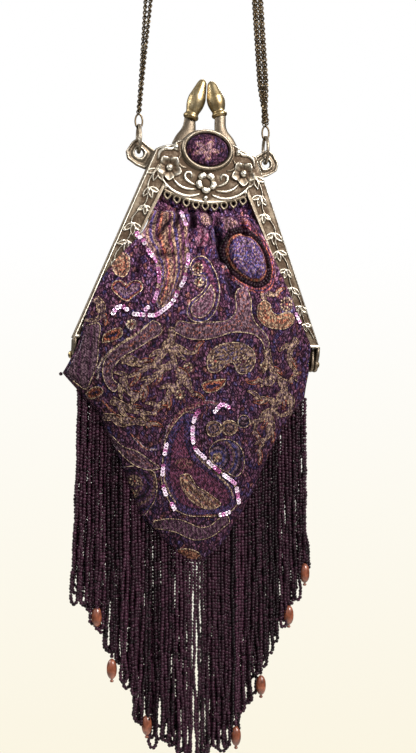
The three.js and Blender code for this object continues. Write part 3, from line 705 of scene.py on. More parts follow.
def blurred(grid: Array, reach: int) -> Array:
    """Mean of a grid over a square window, by running sums along both directions.

    Args:
        grid: the values.
        reach: half the window, in steps.
    Returns:
        The mean at each place.
    """
    for axis in (0, 1):
        pad = [(0, 0), (0, 0)]
        pad[axis] = (reach + 1, reach)
        total = np.cumsum(np.pad(grid, pad, mode="edge"), axis=axis)
        high = np.take(total, np.arange(2 * reach + 1, total.shape[axis]), axis=axis)
        low = np.take(total, np.arange(0, total.shape[axis] - 2 * reach - 1), axis=axis)
        grid = (high - low) / (2 * reach + 1)
    return grid


@dataclass
class Relief:
    """Ornament cast on the face: its height over the sunk ground, the same on both sides of the middle."""

    # half width, rise and route of the upper curl, spiral, two sweeps and two tendrils
    scrolls: tuple = (
        (1.15, 1.15, ((29.4, -7.5), (28.4, -3.4), (25.0, -0.9), (21.6, -0.9), (19.0, 0.9), (17.8, -1.6))),
        (0.95, 1.0, ((9.2, -16.8), (9.0, -15.2), (10.4, -13.8), (12.5, -14.6), (13.0, -17.0), (10.4, -19.6),
                     (6.4, -21.2))),
        (0.95, 1.2, ((27.6, -16.6), (25.6, -20.4), (22.2, -24.0), (16.2, -27.1), (10.0, -28.0),
                     (4.0, -26.4))),
        (0.85, 1.0, ((20.2, -18.2), (17.1, -21.6), (12.5, -23.6), (6.4, -23.8))),
        (0.7, 0.8, ((27.0, -9.0), (29.4, -12.2), (29.0, -16.0), (26.4, -17.2))),
        (0.7, 0.8, ((16.2, -4.4), (17.6, -7.8), (15.6, -10.6), (12.6, -11.4))),
    )
    # middle, radius and rise of the small buds
    buds: tuple = (((19.0, 0.3), 1.7, 1.5), ((24.4, -23.2), 1.3, 1.1), ((0.0, -28.6), 1.5, 1.4))
    side_flower: Pair = (22.6, -12.3)
    low_flower: Pair = (0.0, -19.4)
    petals: int = 5
    leaf_groups: int = 9
    leaf_length: float = 6.6
    leaf_width: float = 1.2
    leaf_spreads: tuple[int, ...] = (-62, -8, 40)
    line: float = 0.52

    def ridge(self, u: Array, v: Array, route: Array, width: Array | float, rise: float) -> Array:
        """Half-round ridge along a route: its height falls as a circle's arc with the distance from it.

        Args:
            u, v: where to read it.
            route: points of the route.
            width: half width, one number or one per point of the route.
            rise: height at the crest.
        Returns:
            The height at each place.
        """
        height = np.zeros_like(u)
        low, high = route.min(axis=0) - 2, route.max(axis=0) + 2
        near = np.flatnonzero((u > low[0]) & (u < high[0]) & (v > low[1]) & (v < high[1]))
        width = np.broadcast_to(width, len(route))
        for block in np.array_split(near, max(1, len(near) * len(route) // 4_000_000)):
            if not len(block):
                continue
            gap = np.hypot(u[block, None] - route[None, :, 0], v[block, None] - route[None, :, 1])
            height[block] = rise * (dome(gap / width) * width).max(axis=1) / width.max()
        return height

    def flower(self, u: Array, v: Array, at: Pair, reach: float, rise: float,
               cupped: bool) -> Array:
        """Rosette whose petals meet in grooves and either cup up to their rims or swell to a round.

        Args:
            u, v: where to read it.
            at: its middle.
            reach: its radius.
            rise: its height.
            cupped: the petals rise to their rims round a ball.
        Returns:
            The height at each place.
        """
        r = np.hypot(u - at[0], v - at[1])
        turn = np.arctan2(v - at[1], u - at[0]) + 0.3
        off = np.abs(np.sin(self.petals / 2 * turn))
        edge = reach * (0.76 + 0.24 * (1 - off) ** 0.7 if cupped else 0.8 + 0.2 * dome(off))
        inside = np.clip((edge - r) / 0.5, 0, 1)
        groove = 1 - np.exp(-((1 - off) / 0.06))
        share = np.clip(r / edge, 0, 1)
        body = 0.16 + 0.84 * share**3 if cupped else dome((share - 0.72) / 0.5)
        height = rise * inside**0.7 * body * (0.5 + 0.5 * groove)
        heart = reach * (0.28 if cupped else 0.46)
        ball = dome(r / heart)
        if cupped:
            return np.maximum(height, np.where(r < heart, 0.6 + rise * ball, 0))
        return np.where(r < heart, 0.25 * rise * ball, height)

    def leaf(self, u: Array, v: Array, at: Array, turn: float, size: float) -> Array:
        """Leaf in a raised line, which runs where the distance across equals a sine of the distance along.

        Args:
            u, v: where to read it.
            at, turn, size: its foot, its direction and its share of the full size.
        Returns:
            The height at each place.
        """
        a = (u - at[0]) * math.cos(turn) + (v - at[1]) * math.sin(turn)
        b = -(u - at[0]) * math.sin(turn) + (v - at[1]) * math.cos(turn)
        length, half = self.leaf_length * size, self.leaf_width * size
        on = (a > -0.3) & (a < length + 0.3)
        bulge = half * np.sin(np.pi * np.clip(a / length, 0, 1)) ** 0.8
        outline = dome((np.abs(b) - bulge) / self.line) * on
        vein = dome(b / (self.line * 0.6)) * ((a > 0) & (a < length * 0.7))
        fill = np.clip((bulge - np.abs(b)) / 0.5, 0, 1) * on
        return np.maximum.reduce([0.95 * outline, 0.4 * vein, 0.12 * fill])

    def vine(self, u: Array, v: Array, casting: "CastFrame") -> Array:
        """Winding stem down the arm with a fan of three leaves in each bend.

        Args:
            u, v: where to read it.
            casting: the frame that it runs down.
        Returns:
            The height at each place.
        """
        levels = np.linspace(-11, -108, self.leaf_groups + 1)
        outer = casting.outer_u(levels)
        wide = outer - np.maximum(casting.inner_u(levels), casting.crotch_u - 0.6)
        middle = outer - 0.4 * wide
        swing = np.where(np.arange(len(levels)) % 2, 1.0, -1.0)
        stem = spline(np.stack([middle + swing * 0.12 * wide, levels], axis=-1), 420)
        height = self.ridge(u, v, stem, 0.45, 0.85)
        for k in range(self.leaf_groups):
            at = np.array([middle[k] + swing[k] * 0.08 * wide[k], levels[k] - 3.0])
            size = min(1.0, wide[k] / 10.0) * (1.06 - 0.12 * (k % 3))
            for spread in self.leaf_spreads:
                turn = math.radians(-92 + swing[k] * (spread + 9 * (k % 4) - 14))
                height = np.maximum(height, self.leaf(u, v, at, turn, size))
        return height

    def height(self, u: Array, v: Array, casting: "CastFrame") -> Array:
        """Height of all the ornament at each place of the face.

        Args:
            u, v: where to read it.
            casting: the frame that carries it.
        Returns:
            The height at each place.
        """
        p, q = np.abs(u).ravel(), v.ravel()
        parts = [self.flower(p, q, self.side_flower, 8.0, 2.1, True),
                 self.flower(p, q, self.low_flower, 6.7, 1.9, False), self.vine(p, q, casting)]
        taper = 0.35 + 0.65 * np.sin(np.pi * np.linspace(0.06, 0.94, 140)) ** 0.7
        for width, rise, points in self.scrolls:
            parts.append(self.ridge(p, q, spline(points, 140), width * taper, rise))
        for at, reach, rise in self.buds:
            parts.append(rise * dome(np.hypot((p - at[0]) / reach, (q - at[1]) / (reach * 1.25))))
        return np.maximum.reduce(parts).reshape(u.shape)


@dataclass(frozen=True)
class Finger:
    """One clasp finger: middle and half width of its root at each level, then its collar and its tip."""

    root_u: tuple[float, ...]
    root_wide: tuple[float, ...]
    collar: Pair
    tip: Pair


ROOT_LEVELS = (2.5, 6.0, 10.0, 14.0, 21.0)
FINGERS = {
    Half.FRONT: Finger((13.4, 12.0, 9.6, 8.4, 8.0), (6.0, 5.4, 4.5, 3.7, 3.4), (8.0, 21.2), (2.1, 42.8)),
    Half.BACK: Finger((13.6, 12.3, 10.4, 9.4, 9.0), (6.4, 6.0, 5.4, 4.3, 3.3), (9.0, 19.8), (2.0, 44.0)),
}


@dataclass
class CastFrame:
    """Both hinged halves of the frame with bezel, pierced edge, clasp fingers, ears and hinges."""

    shop: Workshop
    relief: Relief = field(default_factory=Relief)
    shoulder: Pair = (30.3, -0.9)
    crotch_u: float = 25.1
    crotch_v: float = -24.7
    arm_end_v: float = -114.4
    arm_end_outer: float = 75.2
    arm_end_inner: float = 67.6
    ground_y: float = 6.5
    wall_top_y: float = 3.4
    plate_back_y: float = 4.4
    split_y: float = 0.25
    wall: float = 2.2
    arm_steps: int = 222
    plaque_steps: int = 200
    across_steps: int = 118
    bezel: Pair = (14.4, 11.05)
    bezel_half: float = 1.45
    bezel_rise: float = 2.5
    sewing_holes: int = 9
    sewing_half: float = 23.1
    pin_v: float = -124.4
    cheek_start: Pair = (73.2, 70.6)
    cheek_thick: float = 1.9
    cheek_radius: float = 4.7
    cheek_neck: tuple = ((-6.6, -118.5), (-6.9, -113.2), (-0.4, -113.2), (-0.3, -114.9), (4.3, -114.9))
    # share of the cheek's outline and of its thickness, from one face to the other
    cheek_rows: tuple = ((0.55, 0.0), (0.93, 0.0), (1.0, 0.3), (1.0, 0.7), (0.93, 1.0), (0.55, 1.0))
    ear_hole: Pair = EAR_HOLE
    ear_hole_radius: float = 2.7
    ear_outline: tuple = ((29, -1.6), (33.4, 1.4), (40.2, 6), (43.6, 3.4), (47.2, -2.6), (46.2, -7),
                          (40.6, -10.6), (34.8, -12.6))
    # share of the way from hole to edge, and depth
    ear_section: tuple = ((0, 3.4), (0.0, 2.2), (0.06, 1.6), (0.18, 1.45), (0.3, 1.9), (0.42, 2.4),
                          (0.66, 2.4), (0.74, 1.9), (0.82, 1.5), (0.93, 1.55), (1.0, 2.2), (1.0, 4.0),
                          (0.96, 4.6), (0.5, 4.7), (0.05, 4.6), (0.0, 4.2))
    # distance along the axis and radius
    bulb_profile: tuple = ((0, 3.5), (0.3, 4.2), (1.0, 4.65), (1.8, 4.75), (2.6, 4.4), (3.1, 3.95),
                           (3.7, 3.85), (4.6, 4.05), (5.6, 4.4), (6.8, 4.8), (8.2, 5.15), (9.8, 5.35),
                           (11.4, 5.4), (13.0, 5.25), (14.6, 4.8), (16.0, 4.4), (17.6, 3.95), (19.0, 3.55),
                           (20.4, 3.2), (21.6, 2.8), (22.6, 2.35), (23.3, 1.85), (23.8, 1.3), (24.1, 0.5))
    pin_profile: tuple = ((69.15, 0.9), (69.2, 2.0), (69.5, 2.3), (70.2, 2.3), (70.3, 1.4), (75.3, 1.4),
                          (75.35, 2.2), (75.7, 2.3), (76.3, 2.1), (76.9, 1.5), (77.2, 0.6))
    top_edge: tuple = ((14.7, 5.4), (17.6, 4.4), (21.4, 2.0), (25.2, 1.2), (30.3, -0.9))

    def outer_u(self, v: Array) -> Array:
        """Outer edge of the arm at a level."""
        share = (v - self.shoulder[1]) / (self.arm_end_v - self.shoulder[1])
        return self.shoulder[0] + share * (self.arm_end_outer - self.shoulder[0])

    def inner_u(self, v: Array) -> Array:
        """Inner edge of the arm at a level."""
        share = (v - self.crotch_v) / (self.arm_end_v - self.crotch_v)
        return self.crotch_u + share * (self.arm_end_inner - self.crotch_u)

    def flare(self, v: Array) -> Array:
        """Width of the plain strip inside the arm's bevel, which grows towards the plaque."""
        return 2.2 * smooth_step(v, -70, -27)

    def on_arm(self, u: Array) -> Array:
        """Whether a place lies on an arm and not on the plaque."""
        return np.abs(u) > self.crotch_u + 0.4

    def sewing_v(self, u: Array) -> Array:
        """Level of the row of sewing holes: a shallow parabola."""
        return -33.0 + 4.9 * (np.asarray(u) / self.sewing_half) ** 2

    def top_v(self, u: Array) -> Array:
        """Top of the plaque: a dome round the bezel and a slope down to the shoulders.

        Args:
            u: places across.
        Returns:
            Their levels.
        """
        u = np.abs(u)
        slope = smooth_at(u, *np.array(self.top_edge).T)
        return np.where(u < self.top_edge[0][0], 12.8 * dome(u / 16.2), slope)

    def edges(self, scale: float) -> tuple[Array, Array]:
        """Inner and outer edge of the face, up the left arm, over the plaque and down the right arm.

        Args:
            scale: share of the full number of steps.
        Returns:
            Two arrays of flat points.
        """
        arm_v = np.linspace(self.arm_end_v, self.crotch_v, int(self.arm_steps * scale), endpoint=False)
        share = (arm_v - self.arm_end_v) / (self.crotch_v - self.arm_end_v)
        outer_v = self.arm_end_v + share * (self.shoulder[1] - self.arm_end_v)
        q = np.linspace(-1, 1, int(self.plaque_steps * scale))
        low = np.minimum(self.sewing_v(self.crotch_u * q) + 0.7, self.crotch_v)
        low[[0, -1]] = self.crotch_v
        inner_plaque = np.stack([self.crotch_u * q, low], -1)
        outer_plaque = np.stack([self.shoulder[0] * q, self.top_v(self.shoulder[0] * q)], -1)
        inner_arm = np.stack([-self.inner_u(arm_v), arm_v], -1)
        outer_arm = np.stack([-self.outer_u(outer_v), outer_v], -1)
        inner = np.concatenate([inner_arm, inner_plaque, inner_arm[::-1] * (-1, 1)])
        return inner, np.concatenate([outer_arm, outer_plaque, outer_arm[::-1] * (-1, 1)])

    def face_height(self, u: Array, v: Array, inside: Array, outside: Array, end: Array,
                    ornate: bool) -> Array:
        """Height of the face over its ground: borders, bezel and ornament, eased off at the edges.

        Args:
            u, v: places on the face.
            inside, outside, end: distances from the inner, outer and end edges.
            ornate: with the cast ornament.
        Returns:
            The height at each place.
        """
        flare = self.flare(v)
        strip = 0.9 * smooth_step(inside, 0.0, 0.4) * (inside < flare)
        bevel = np.maximum(band(inside - flare, 0.0, 1.3, 0.9), strip)
        border = np.where(self.on_arm(u), bevel, band(inside, 1.2, 2.0, 0.3))
        r = np.hypot(u / self.bezel[0], v / self.bezel[1])
        steep = np.hypot(u / self.bezel[0] ** 2, v / self.bezel[1] ** 2) / np.maximum(r, 1e-6)
        rim = self.bezel_rise * dome((r - 1) / np.maximum(steep, 1e-6) / self.bezel_half)
        height = np.maximum.reduce([band(outside, 0.0, 1.1, 0.5), band(end, 0.0, 1.5, 0.9), border, rim])
        if ornate:
            ornament = self.relief.height(u, v, self) * smooth_step(np.minimum(inside, outside), 0.1, 0.7)
            height = np.maximum(height, np.where(r < 0.93, 0, ornament))
        for gap, drop, reach in ((outside, 1.5, 0.9), (inside, 0.7, 0.6), (end, 0.6, 0.5)):
            height = height - drop * np.clip(1 - gap / reach, 0, 1) ** 2
        return height

    def wear(self, u: Array, v: Array, inside: Array, height: Array, window: int) -> Array:
        """Tone of the face: dark below the mean height round about and bare above it, quieter on plain rims.

        Args:
            u, v: places on the face.
            inside: distance from the inner edge.
            height: height of the face.
            window: steps over which the mean is taken.
        Returns:
            The tone at each place.
        """
        bezel = np.hypot(u / self.bezel[0], v / self.bezel[1]) < 1.16
        flower = np.hypot(np.abs(u) - self.relief.side_flower[0], v - self.relief.side_flower[1]) < 8.2
        strip = self.on_arm(u) & (inside < 1.6 + self.flare(v))
        rubbed = np.select([strip, flower, bezel], [0.45, 0.7, 0.12], 1.0)
        mean = blurred(height, window)
        proud = np.where(height < mean, 0.8, 1.0) * (height - mean)
        base = np.where(bezel, 0.4, 0.33)
        return np.clip(base + (0.72 * np.tanh(1.3 * proud) + 0.04 * height) * rubbed, 0, 1)

    def casting(self, half: Half, scale: float) -> Surface:
        """One half: the face as a strip, along the arms and across, closed by wall and back.

        Args:
            half: front or back.
            scale: share of the full number of steps.
        Returns:
            The closed casting.
        """
        inner, outer = self.edges(scale)
        s = np.linspace(0, 1, int(self.across_steps * scale))[:, None]
        u, v = np.moveaxis(inner[:, None] * (1 - s) + outer[:, None] * s, -1, 0)
        reach = np.linalg.norm(outer - inner, axis=1)[:, None]
        inside, outside = s[:, 0] * reach, (1 - s[:, 0]) * reach
        height = self.face_height(u, v, inside, outside, np.abs(v - self.arm_end_v), half is Half.FRONT)
        tone = self.wear(u, v, inside, height, int(9 * scale) + 1)
        face = hung(u, half.value * (self.ground_y + height), v)
        shelf = outer + (inner - outer) / np.maximum(reach, 1e-6) * self.wall
        rim = ((outer, self.wall_top_y), (outer, self.split_y), (shelf, self.split_y),
               (shelf, self.plate_back_y), (inner, self.plate_back_y))
        rows = [hung(edge[:, 0], half.value * depth, edge[:, 1]) for edge, depth in rim]
        grid = np.concatenate([face, np.stack(rows, axis=1)], axis=1)
        return tube(grid, np.concatenate([tone, np.full((len(tone), len(rows)), 0.38)], axis=1))

    def eyelets(self, half: Half) -> Surface:
        """Pierced edge: a closed section carried round each sewing hole, with a point below.

        Args:
            half: front or back.
        Returns:
            All the rings.
        """
        turn, section = once_round(30)[:, None], once_round(12)
        point = 1 + 0.32 * np.exp(-((turn - 1.5 * np.pi) / 0.32) ** 2)
        radius = point * (1.85 + 0.8 * np.cos(section))
        depth = half.value * (5.75 + 0.95 * np.sin(section))
        rings = []
        for u in np.linspace(-self.sewing_half, self.sewing_half, self.sewing_holes):
            grid = hung(u + radius * np.cos(turn), depth, self.sewing_v(u) + radius * np.sin(turn))
            rings.append(ring_skin(grid, 0.22 + 0.2 * np.sin(section)))
        return join(rings)

    def cheeks(self, half: Half) -> Surface:
        """Hinge cheeks: plates at the arm's end and round the pin, their outline drawn in at both faces.

        Args:
            half: front or back.
        Returns:
            Both plates.
        """
        turn = np.radians(np.linspace(0, -200, 30))
        eye = np.stack([self.cheek_radius * np.cos(turn), self.pin_v + self.cheek_radius * np.sin(turn)], -1)
        outline = np.concatenate([self.cheek_neck, eye]) * (-half.value, 1)
        middle = outline.mean(axis=0)
        share, depth = np.array(self.cheek_rows).T
        y, v = np.moveaxis(middle + (outline - middle) * share[:, None, None], -1, 0)
        u = self.cheek_start[half is Half.BACK] + self.cheek_thick * depth[:, None]
        return join([tube(hung(side.value * u, y, v), 0.34) for side in Side])

    def finger(self, half: Half) -> tuple[Surface, Surface]:
        """Clasp finger: a root that flares into the plaque, then collar and pointed bulb on a leaning axis.

        Args:
            half: front or back.
        Returns:
            The root and the bulb.
        """
        side = 1.0 if half is Half.FRONT else -1.0
        y, shape = half.value, FINGERS[half]
        v = np.linspace(ROOT_LEVELS[0], shape.collar[1] + 0.6, 26)
        u, wide = smooth_at(v, ROOT_LEVELS, shape.root_u), smooth_at(v, ROOT_LEVELS, shape.root_wide)
        root = swept(hung(side * u, y * 3.5, v), wide, 2.5, hung_axis(0, 1, 0), 24, tone=0.37)
        collar = hung(side * shape.collar[0], y * 3.0, shape.collar[1])
        tip = hung(side * shape.tip[0], y * 0.8, shape.tip[1])
        knots = np.array(self.bulb_profile)
        knots[:, 0] *= np.linalg.norm(tip - collar) / knots[-1, 0]
        along = np.linspace(0, knots[-1, 0], 80)
        radius = np.interp(along, *knots.T)
        radius = np.convolve(np.pad(radius, 1, mode="edge"), [0.25, 0.5, 0.25], mode="valid")
        return root, turned(np.stack([along, radius], -1), 40, collar, tip - collar, 0.55)

    def ears(self) -> Surface:
        """Pierced ears: a closed section with two raised rims, carried round each hole to the ear's edge.

        Returns:
            Both ears.
        """
        share, depth = np.array(self.ear_section).T
        corners = np.array(self.ear_outline) - self.ear_hole
        t = np.linspace(0, len(corners), 720, endpoint=False)
        k = t.astype(int)
        edge = corners[k] + (t - k)[:, None] * (np.roll(corners, -1, axis=0)[k] - corners[k])
        angle, reach = np.arctan2(edge[:, 1], edge[:, 0]), np.hypot(edge[:, 0], edge[:, 1])
        order = np.argsort(angle)
        turn = np.linspace(-np.pi, np.pi, 96, endpoint=False)
        outer = np.interp(turn, angle[order], reach[order], period=2 * np.pi)
        outer = (np.roll(outer, 1) + 2 * outer + np.roll(outer, -1)) / 4
        radius = self.ear_hole_radius + share * (outer[:, None] - self.ear_hole_radius)
        tone = np.interp(depth, [1.4, 2.4, 4.6], [0.62, 0.3, 0.36])
        u = self.ear_hole[0] + radius * np.cos(turn)[:, None]
        v = self.ear_hole[1] + radius * np.sin(turn)[:, None]
        return join([ring_skin(hung(side.value * u, depth, v), tone) for side in Side])

    def pins(self) -> None:
        """Riveted hinge pins with domed heads."""
        for side in Side:
            pin = turned(self.pin_profile, 24, hung(0, 0, self.pin_v), hung_axis(side.value, 0, 0), 0.6)
            name = side.name.lower() + "_hinge_pin"
            self.shop.piece(name + "_turned", pin, RUBBED_BRASS, "polished_brass", (name,))

    def build(self) -> None:
        """Makes both halves, the clasp and the hinges."""
        front_root, front_bulb = self.finger(Half.FRONT)
        back_root, back_bulb = self.finger(Half.BACK)
        front = [self.casting(Half.FRONT, 1.0), self.eyelets(Half.FRONT), self.cheeks(Half.FRONT), front_root]
        self.shop.piece("front_half_casting", join(front), CAST_BRASS, "antique_brass", ("front_frame",))
        back = [self.casting(Half.BACK, 0.5), self.eyelets(Half.BACK), self.cheeks(Half.BACK), self.ears(),
                back_root]
        self.shop.piece("back_half_casting", join(back), CAST_BRASS, "antique_brass", ("back_frame",))
        self.shop.piece("right_clasp_finger", front_bulb, RUBBED_BRASS, "polished_brass")
        self.shop.piece("left_clasp_finger", back_bulb, RUBBED_BRASS, "polished_brass")
        self.pins()


# Rings and chain


@dataclass
class ChainHandle:
    """Oval ear rings, end links and the two strands of curb links."""

    shop: Workshop
    hook_radius: float = 18.0
    chain_width: float = 3.0
    apart: float = 3.5
    ear: Triple = (EAR_HOLE[0], 3.35, EAR_HOLE[1])
    # height, width and wire of the oval rings and of the links on them
    ring: Triple = (18.0, 12.4, 1.9)
    end_link: Triple = (9.4, 5.4, 1.1)
    ring_foot: float = 0.6
    play: float = 0.35
    pitch: float = 1.55
    side_steps: int = 700
    arc_steps: int = 300
    # half length, half width and twist of a curb link's wire path, and the wire's half thickness
    curb: Triple = (1.2, 1.5, 0.24)
    curb_wire: float = 0.5

    def hole(self, side: Side) -> Array:
        """Middle of an ear's hole."""
        return hung(side.value * self.ear[0], *self.ear[1:])

    def link_foot(self) -> float:
        """Height of an end link's lowest wire over the hole: under the top of its ring with a little play."""
        return self.ring_foot + self.ring[0] - 1.5 * self.ring[2] - self.play - self.end_link[2] / 2

    def oval(self, low: Array, size: Triple, across: Array, facing: Array) -> Surface:
        """Round wire carried round an oval that stands on a point.

        Args:
            low: middle of the lowest wire.
            size: height, width and wire.
            across, facing: directions of the width and through the oval.
        Returns:
            The closed ring.
        """
        tall, wide, wire = size
        turn = once_round(64)[:, None]
        rise = (1 + np.sin(turn)) * (tall - wire) / 2
        path = low + rise * Z_AXIS + np.cos(turn) * (wide - wire) / 2 * across
        return swept(path, wire / 2, wire / 2, facing, 14, closed=True)

    def route(self, apart: float) -> Array:
        """Dense line of one strand: straight sides and an arc over the hook, winding about the other strand.

        Args:
            apart: signed distance from the middle line.
        Returns:
            Points along the strand.
        """
        centre, radius = np.array([0.0, -self.hook_radius]), self.hook_radius + self.chain_width / 2
        rise = self.link_foot() + self.end_link[0] - self.end_link[2] / 2 + self.play
        feet, angles = [], []
        for side in Side:
            foot = self.hole(side)[[0, 2]] + (0, rise)
            spoke = foot - centre
            angles.append(math.atan2(spoke[1], spoke[0]) + side.value * math.acos(radius / np.hypot(*spoke)))
            feet.append(foot)
        angles[0] += 2 * math.pi if angles[0] < 0 else 0
        n, arc = self.side_steps, self.arc_steps
        climb = np.concatenate([np.linspace(0, 1, n, endpoint=False), np.ones(arc), np.linspace(1, 0, n)])
        angle = np.concatenate([np.full(n, angles[0]), np.linspace(*angles, arc), np.full(n, angles[1])])
        spoke = np.stack([np.cos(angle), np.sin(angle)], -1)
        left = np.arange(len(climb)) < len(climb) // 2
        foot = np.where(left[:, None], *feet)
        spot = foot + climb[:, None] * (centre + radius * spoke - foot)
        right_turn = smooth_step(climb, 0.0, 0.12) * (1 - smooth_step(climb, 0.55, 1.0))
        turn = np.pi / 2 * np.where(left, np.sin(np.pi * climb) ** 2, right_turn)
        spot = spot + spoke * (apart * np.sin(turn))[:, None]
        return np.stack([spot[:, 0], self.ear[1] * (1 - climb) + apart * np.cos(turn), spot[:, 1]], -1)

    def strand(self, apart: float) -> Surface:
        """Curb links along a strand: an oval wire link per pitch, edge on at the left, flat at the right.

        Args:
            apart: signed distance from the middle line.
        Returns:
            All its links.
        """
        line = self.route(apart)
        total = reach_along(line)[-1]
        count = int((total - 1.2) / self.pitch)
        at = np.linspace(0.9, total - 0.9, count)
        places = read_at(at, line)
        along = unit(np.gradient(places, axis=0))
        across = unit(np.cross(along, Y_AXIS))
        flat = smooth_step(at / total, 0.44, 0.56)
        number = np.arange(count)
        roll = np.radians(80.0 * (1 - flat) + np.where(number % 2, 24.0, -18.0))[:, None]
        first = across * np.cos(roll) + np.cross(across, along) * np.sin(roll)
        axes = np.stack([along, first, np.cross(along, first)], axis=1)
        turn = once_round(10)
        path = np.stack([np.cos(turn), np.sin(turn), np.sin(2 * turn)], -1) * self.curb
        link = swept(path, self.curb_wire, self.curb_wire, Z_AXIS, 4, closed=True)
        return repeated(link, places, axes, 0.4 + 0.25 * np.sin(number * 1.7) * np.cos(number * 0.37))

    def build(self) -> None:
        """Makes rings, links and strands."""
        for side in Side:
            hole, name = self.hole(side), side.name.lower()
            ring = self.oval(hole + self.ring_foot * Z_AXIS, self.ring, Y_AXIS, X_AXIS)
            self.shop.piece(name + "_ear_ring", ring, CAST_BRASS, "polished_brass", (name + "_ring",))
            link = self.oval(hole + self.link_foot() * Z_AXIS, self.end_link, X_AXIS, Y_AXIS)
            self.shop.piece(name + "_joining_link", link, WIRE_BRASS, "chain_brass", (name + "_end_link",))
        for name, apart in (("front", -self.apart / 2), ("back", self.apart / 2)):
            strand = self.strand(apart)
            self.shop.piece("chain_links_" + name, strand, WIRE_BRASS, "chain_brass",
                            (f"chain_{name}_strand",))


# Cloth


@dataclass
class ClothForm:
    """Form of the gathered bag: a row per level with its edges and the swell of its front and back."""

    columns: tuple = ("v", "left", "right", "neck_left", "neck_right", "front", "back", "edge_left",
                      "edge_right")
    rows: tuple = (
        (-26.8, -26.6, 26.6, -25.8, 25.8, 3.7, 3.6, 3.0, 3.0),
        (-31.0, -28.8, 28.8, -27.8, 27.8, 3.9, 3.8, 3.2, 3.2),
        (-36.6, -31.2, 31.2, -30.0, 30.0, 4.3, 3.9, 3.5, 3.5),
        (-39.5, -32.8, 32.8, -31.2, 31.2, 9.6, 6.2, 4.2, 4.2),
        (-46.0, -34.7, 34.8, -33.4, 33.4, 12.4, 8.2, 7.0, 6.8),
        (-53.0, -38.9, 38.5, -37.0, 37.0, 13.0, 9.6, 8.5, 8.3),
        (-60.0, -45.2, 42.2, -40.2, 40.2, 13.0, 10.6, 8.8, 8.6),
        (-69.0, -53.2, 46.9, -44.6, 44.6, 13.6, 11.3, 8.8, 8.8),
        (-80.0, -60.2, 52.6, -50.0, 50.0, 14.1, 11.9, 8.8, 8.8),
        (-92.0, -65.8, 58.4, -55.6, 55.6, 14.3, 12.3, 8.8, 8.8),
        (-104.0, -69.4, 63.6, -61.4, 61.4, 14.2, 12.4, 8.8, 8.8),
        (-113.0, -71.4, 68.2, -65.6, 65.6, 14.0, 12.4, 8.7, 8.4),
        (-118.0, -72.6, 68.8, -67.0, 66.8, 13.8, 12.3, 7.6, 7.0),
        (-123.0, -74.6, 68.4, -67.9, 67.4, 13.6, 12.2, 6.8, 6.0),
        (-130.0, -77.8, 69.4, -68.4, 67.8, 13.2, 12.0, 5.4, 3.4),
        (-135.3, -80.4, 69.0, -76.6, 68.0, 12.9, 11.8, 3.0, 1.6),
        (-144.6, -71.4, 68.0, -71.2, 67.8, 12.1, 11.1, 1.2, 1.0),
        (-157.0, -58.8, 58.8, -58.6, 58.6, 11.3, 10.4, 1.0, 0.9),
        (-169.0, -53.0, 52.0, -52.8, 51.8, 10.5, 9.7, 0.9, 0.9),
        (-190.0, -42.6, 42.2, -42.4, 42.0, 8.9, 8.4, 0.9, 0.8),
        (-204.0, -36.6, 36.2, -36.4, 36.0, 7.7, 7.3, 0.8, 0.8),
        (-218.0, -29.6, 29.0, -29.4, 28.8, 6.5, 6.1, 0.8, 0.8),
        (-226.0, -22.2, 24.4, -22.0, 24.2, 5.5, 5.2, 0.7, 0.7),
        (-234.0, -13.4, 19.0, -13.2, 18.8, 4.3, 4.1, 0.6, 0.6),
        (-240.0, -6.6, 12.8, -6.4, 12.6, 3.0, 2.9, 0.5, 0.5),
        (-244.4, -0.5, 8.6, -0.4, 8.5, 0.8, 0.6, 0.3, 0.3),
    )
    oval_at: Pair = (25.3, -63.2)
    oval_half: Pair = (15.8, 11.0)
    oval_turn: float = math.radians(-52)
    creases: tuple = (
        # depth, half width, route
        (4.6, 1.8, ((-7.4, -37.0), (-7.6, -43.0), (-7.0, -51.0))),
        (3.0, 1.7, ((19.0, -38.0), (21.0, -44.0), (24.5, -50.0))),
        (3.4, 1.6, ((-21.0, -43.5), (-25.0, -47.5), (-29.5, -54.0))),
        (2.6, 1.7, ((-29.5, -64.3), (-25.0, -64.9), (-19.5, -64.0))),
        (4.6, 2.2, ((7.4, -50.0), (8.2, -57.0), (9.6, -65.0))),
        (3.2, 1.9, ((13.2, -74.0), (14.6, -79.0), (16.6, -86.0))),
        (3.4, 1.5, ((-16.6, -37.0), (-17.0, -41.0), (-19.0, -47.0))),
        (3.4, 1.6, ((3.0, -37.0), (3.4, -43.0), (6.0, -49.0))),
        (2.2, 1.4, ((12.0, -38.0), (12.2, -43.0), (10.0, -49.0))),
        (1.8, 1.5, ((27.0, -39.0), (29.6, -46.0), (32.0, -50.0))),
        (2.8, 1.6, ((-26.0, -37.0), (-29.0, -43.0), (-33.0, -48.0))),
        (2.4, 2.4, ((-38.0, -62.0), (-41.0, -72.0), (-42.0, -80.0))),
        (2.0, 2.4, ((-10.0, -64.0), (-13.0, -76.0), (-20.0, -92.0))),
        (1.6, 2.6, ((30.0, -84.0), (31.0, -92.0), (30.5, -101.0))),
    )

    def column(self, name: str, v: Array) -> Array:
        """One column of the table, read smoothly at each level.

        Args:
            name: the column.
            v: the levels.
        Returns:
            Its values.
        """
        table = np.array(self.rows)
        value = smooth_at(v, table[:, 0], table[:, self.columns.index(name)])
        if name in ("left", "right", "neck_left", "neck_right"):
            straight = np.interp(v, table[::-1, 0], table[::-1, self.columns.index(name)])
            return np.where((v < -126) & (v > -157), straight, value)
        return value

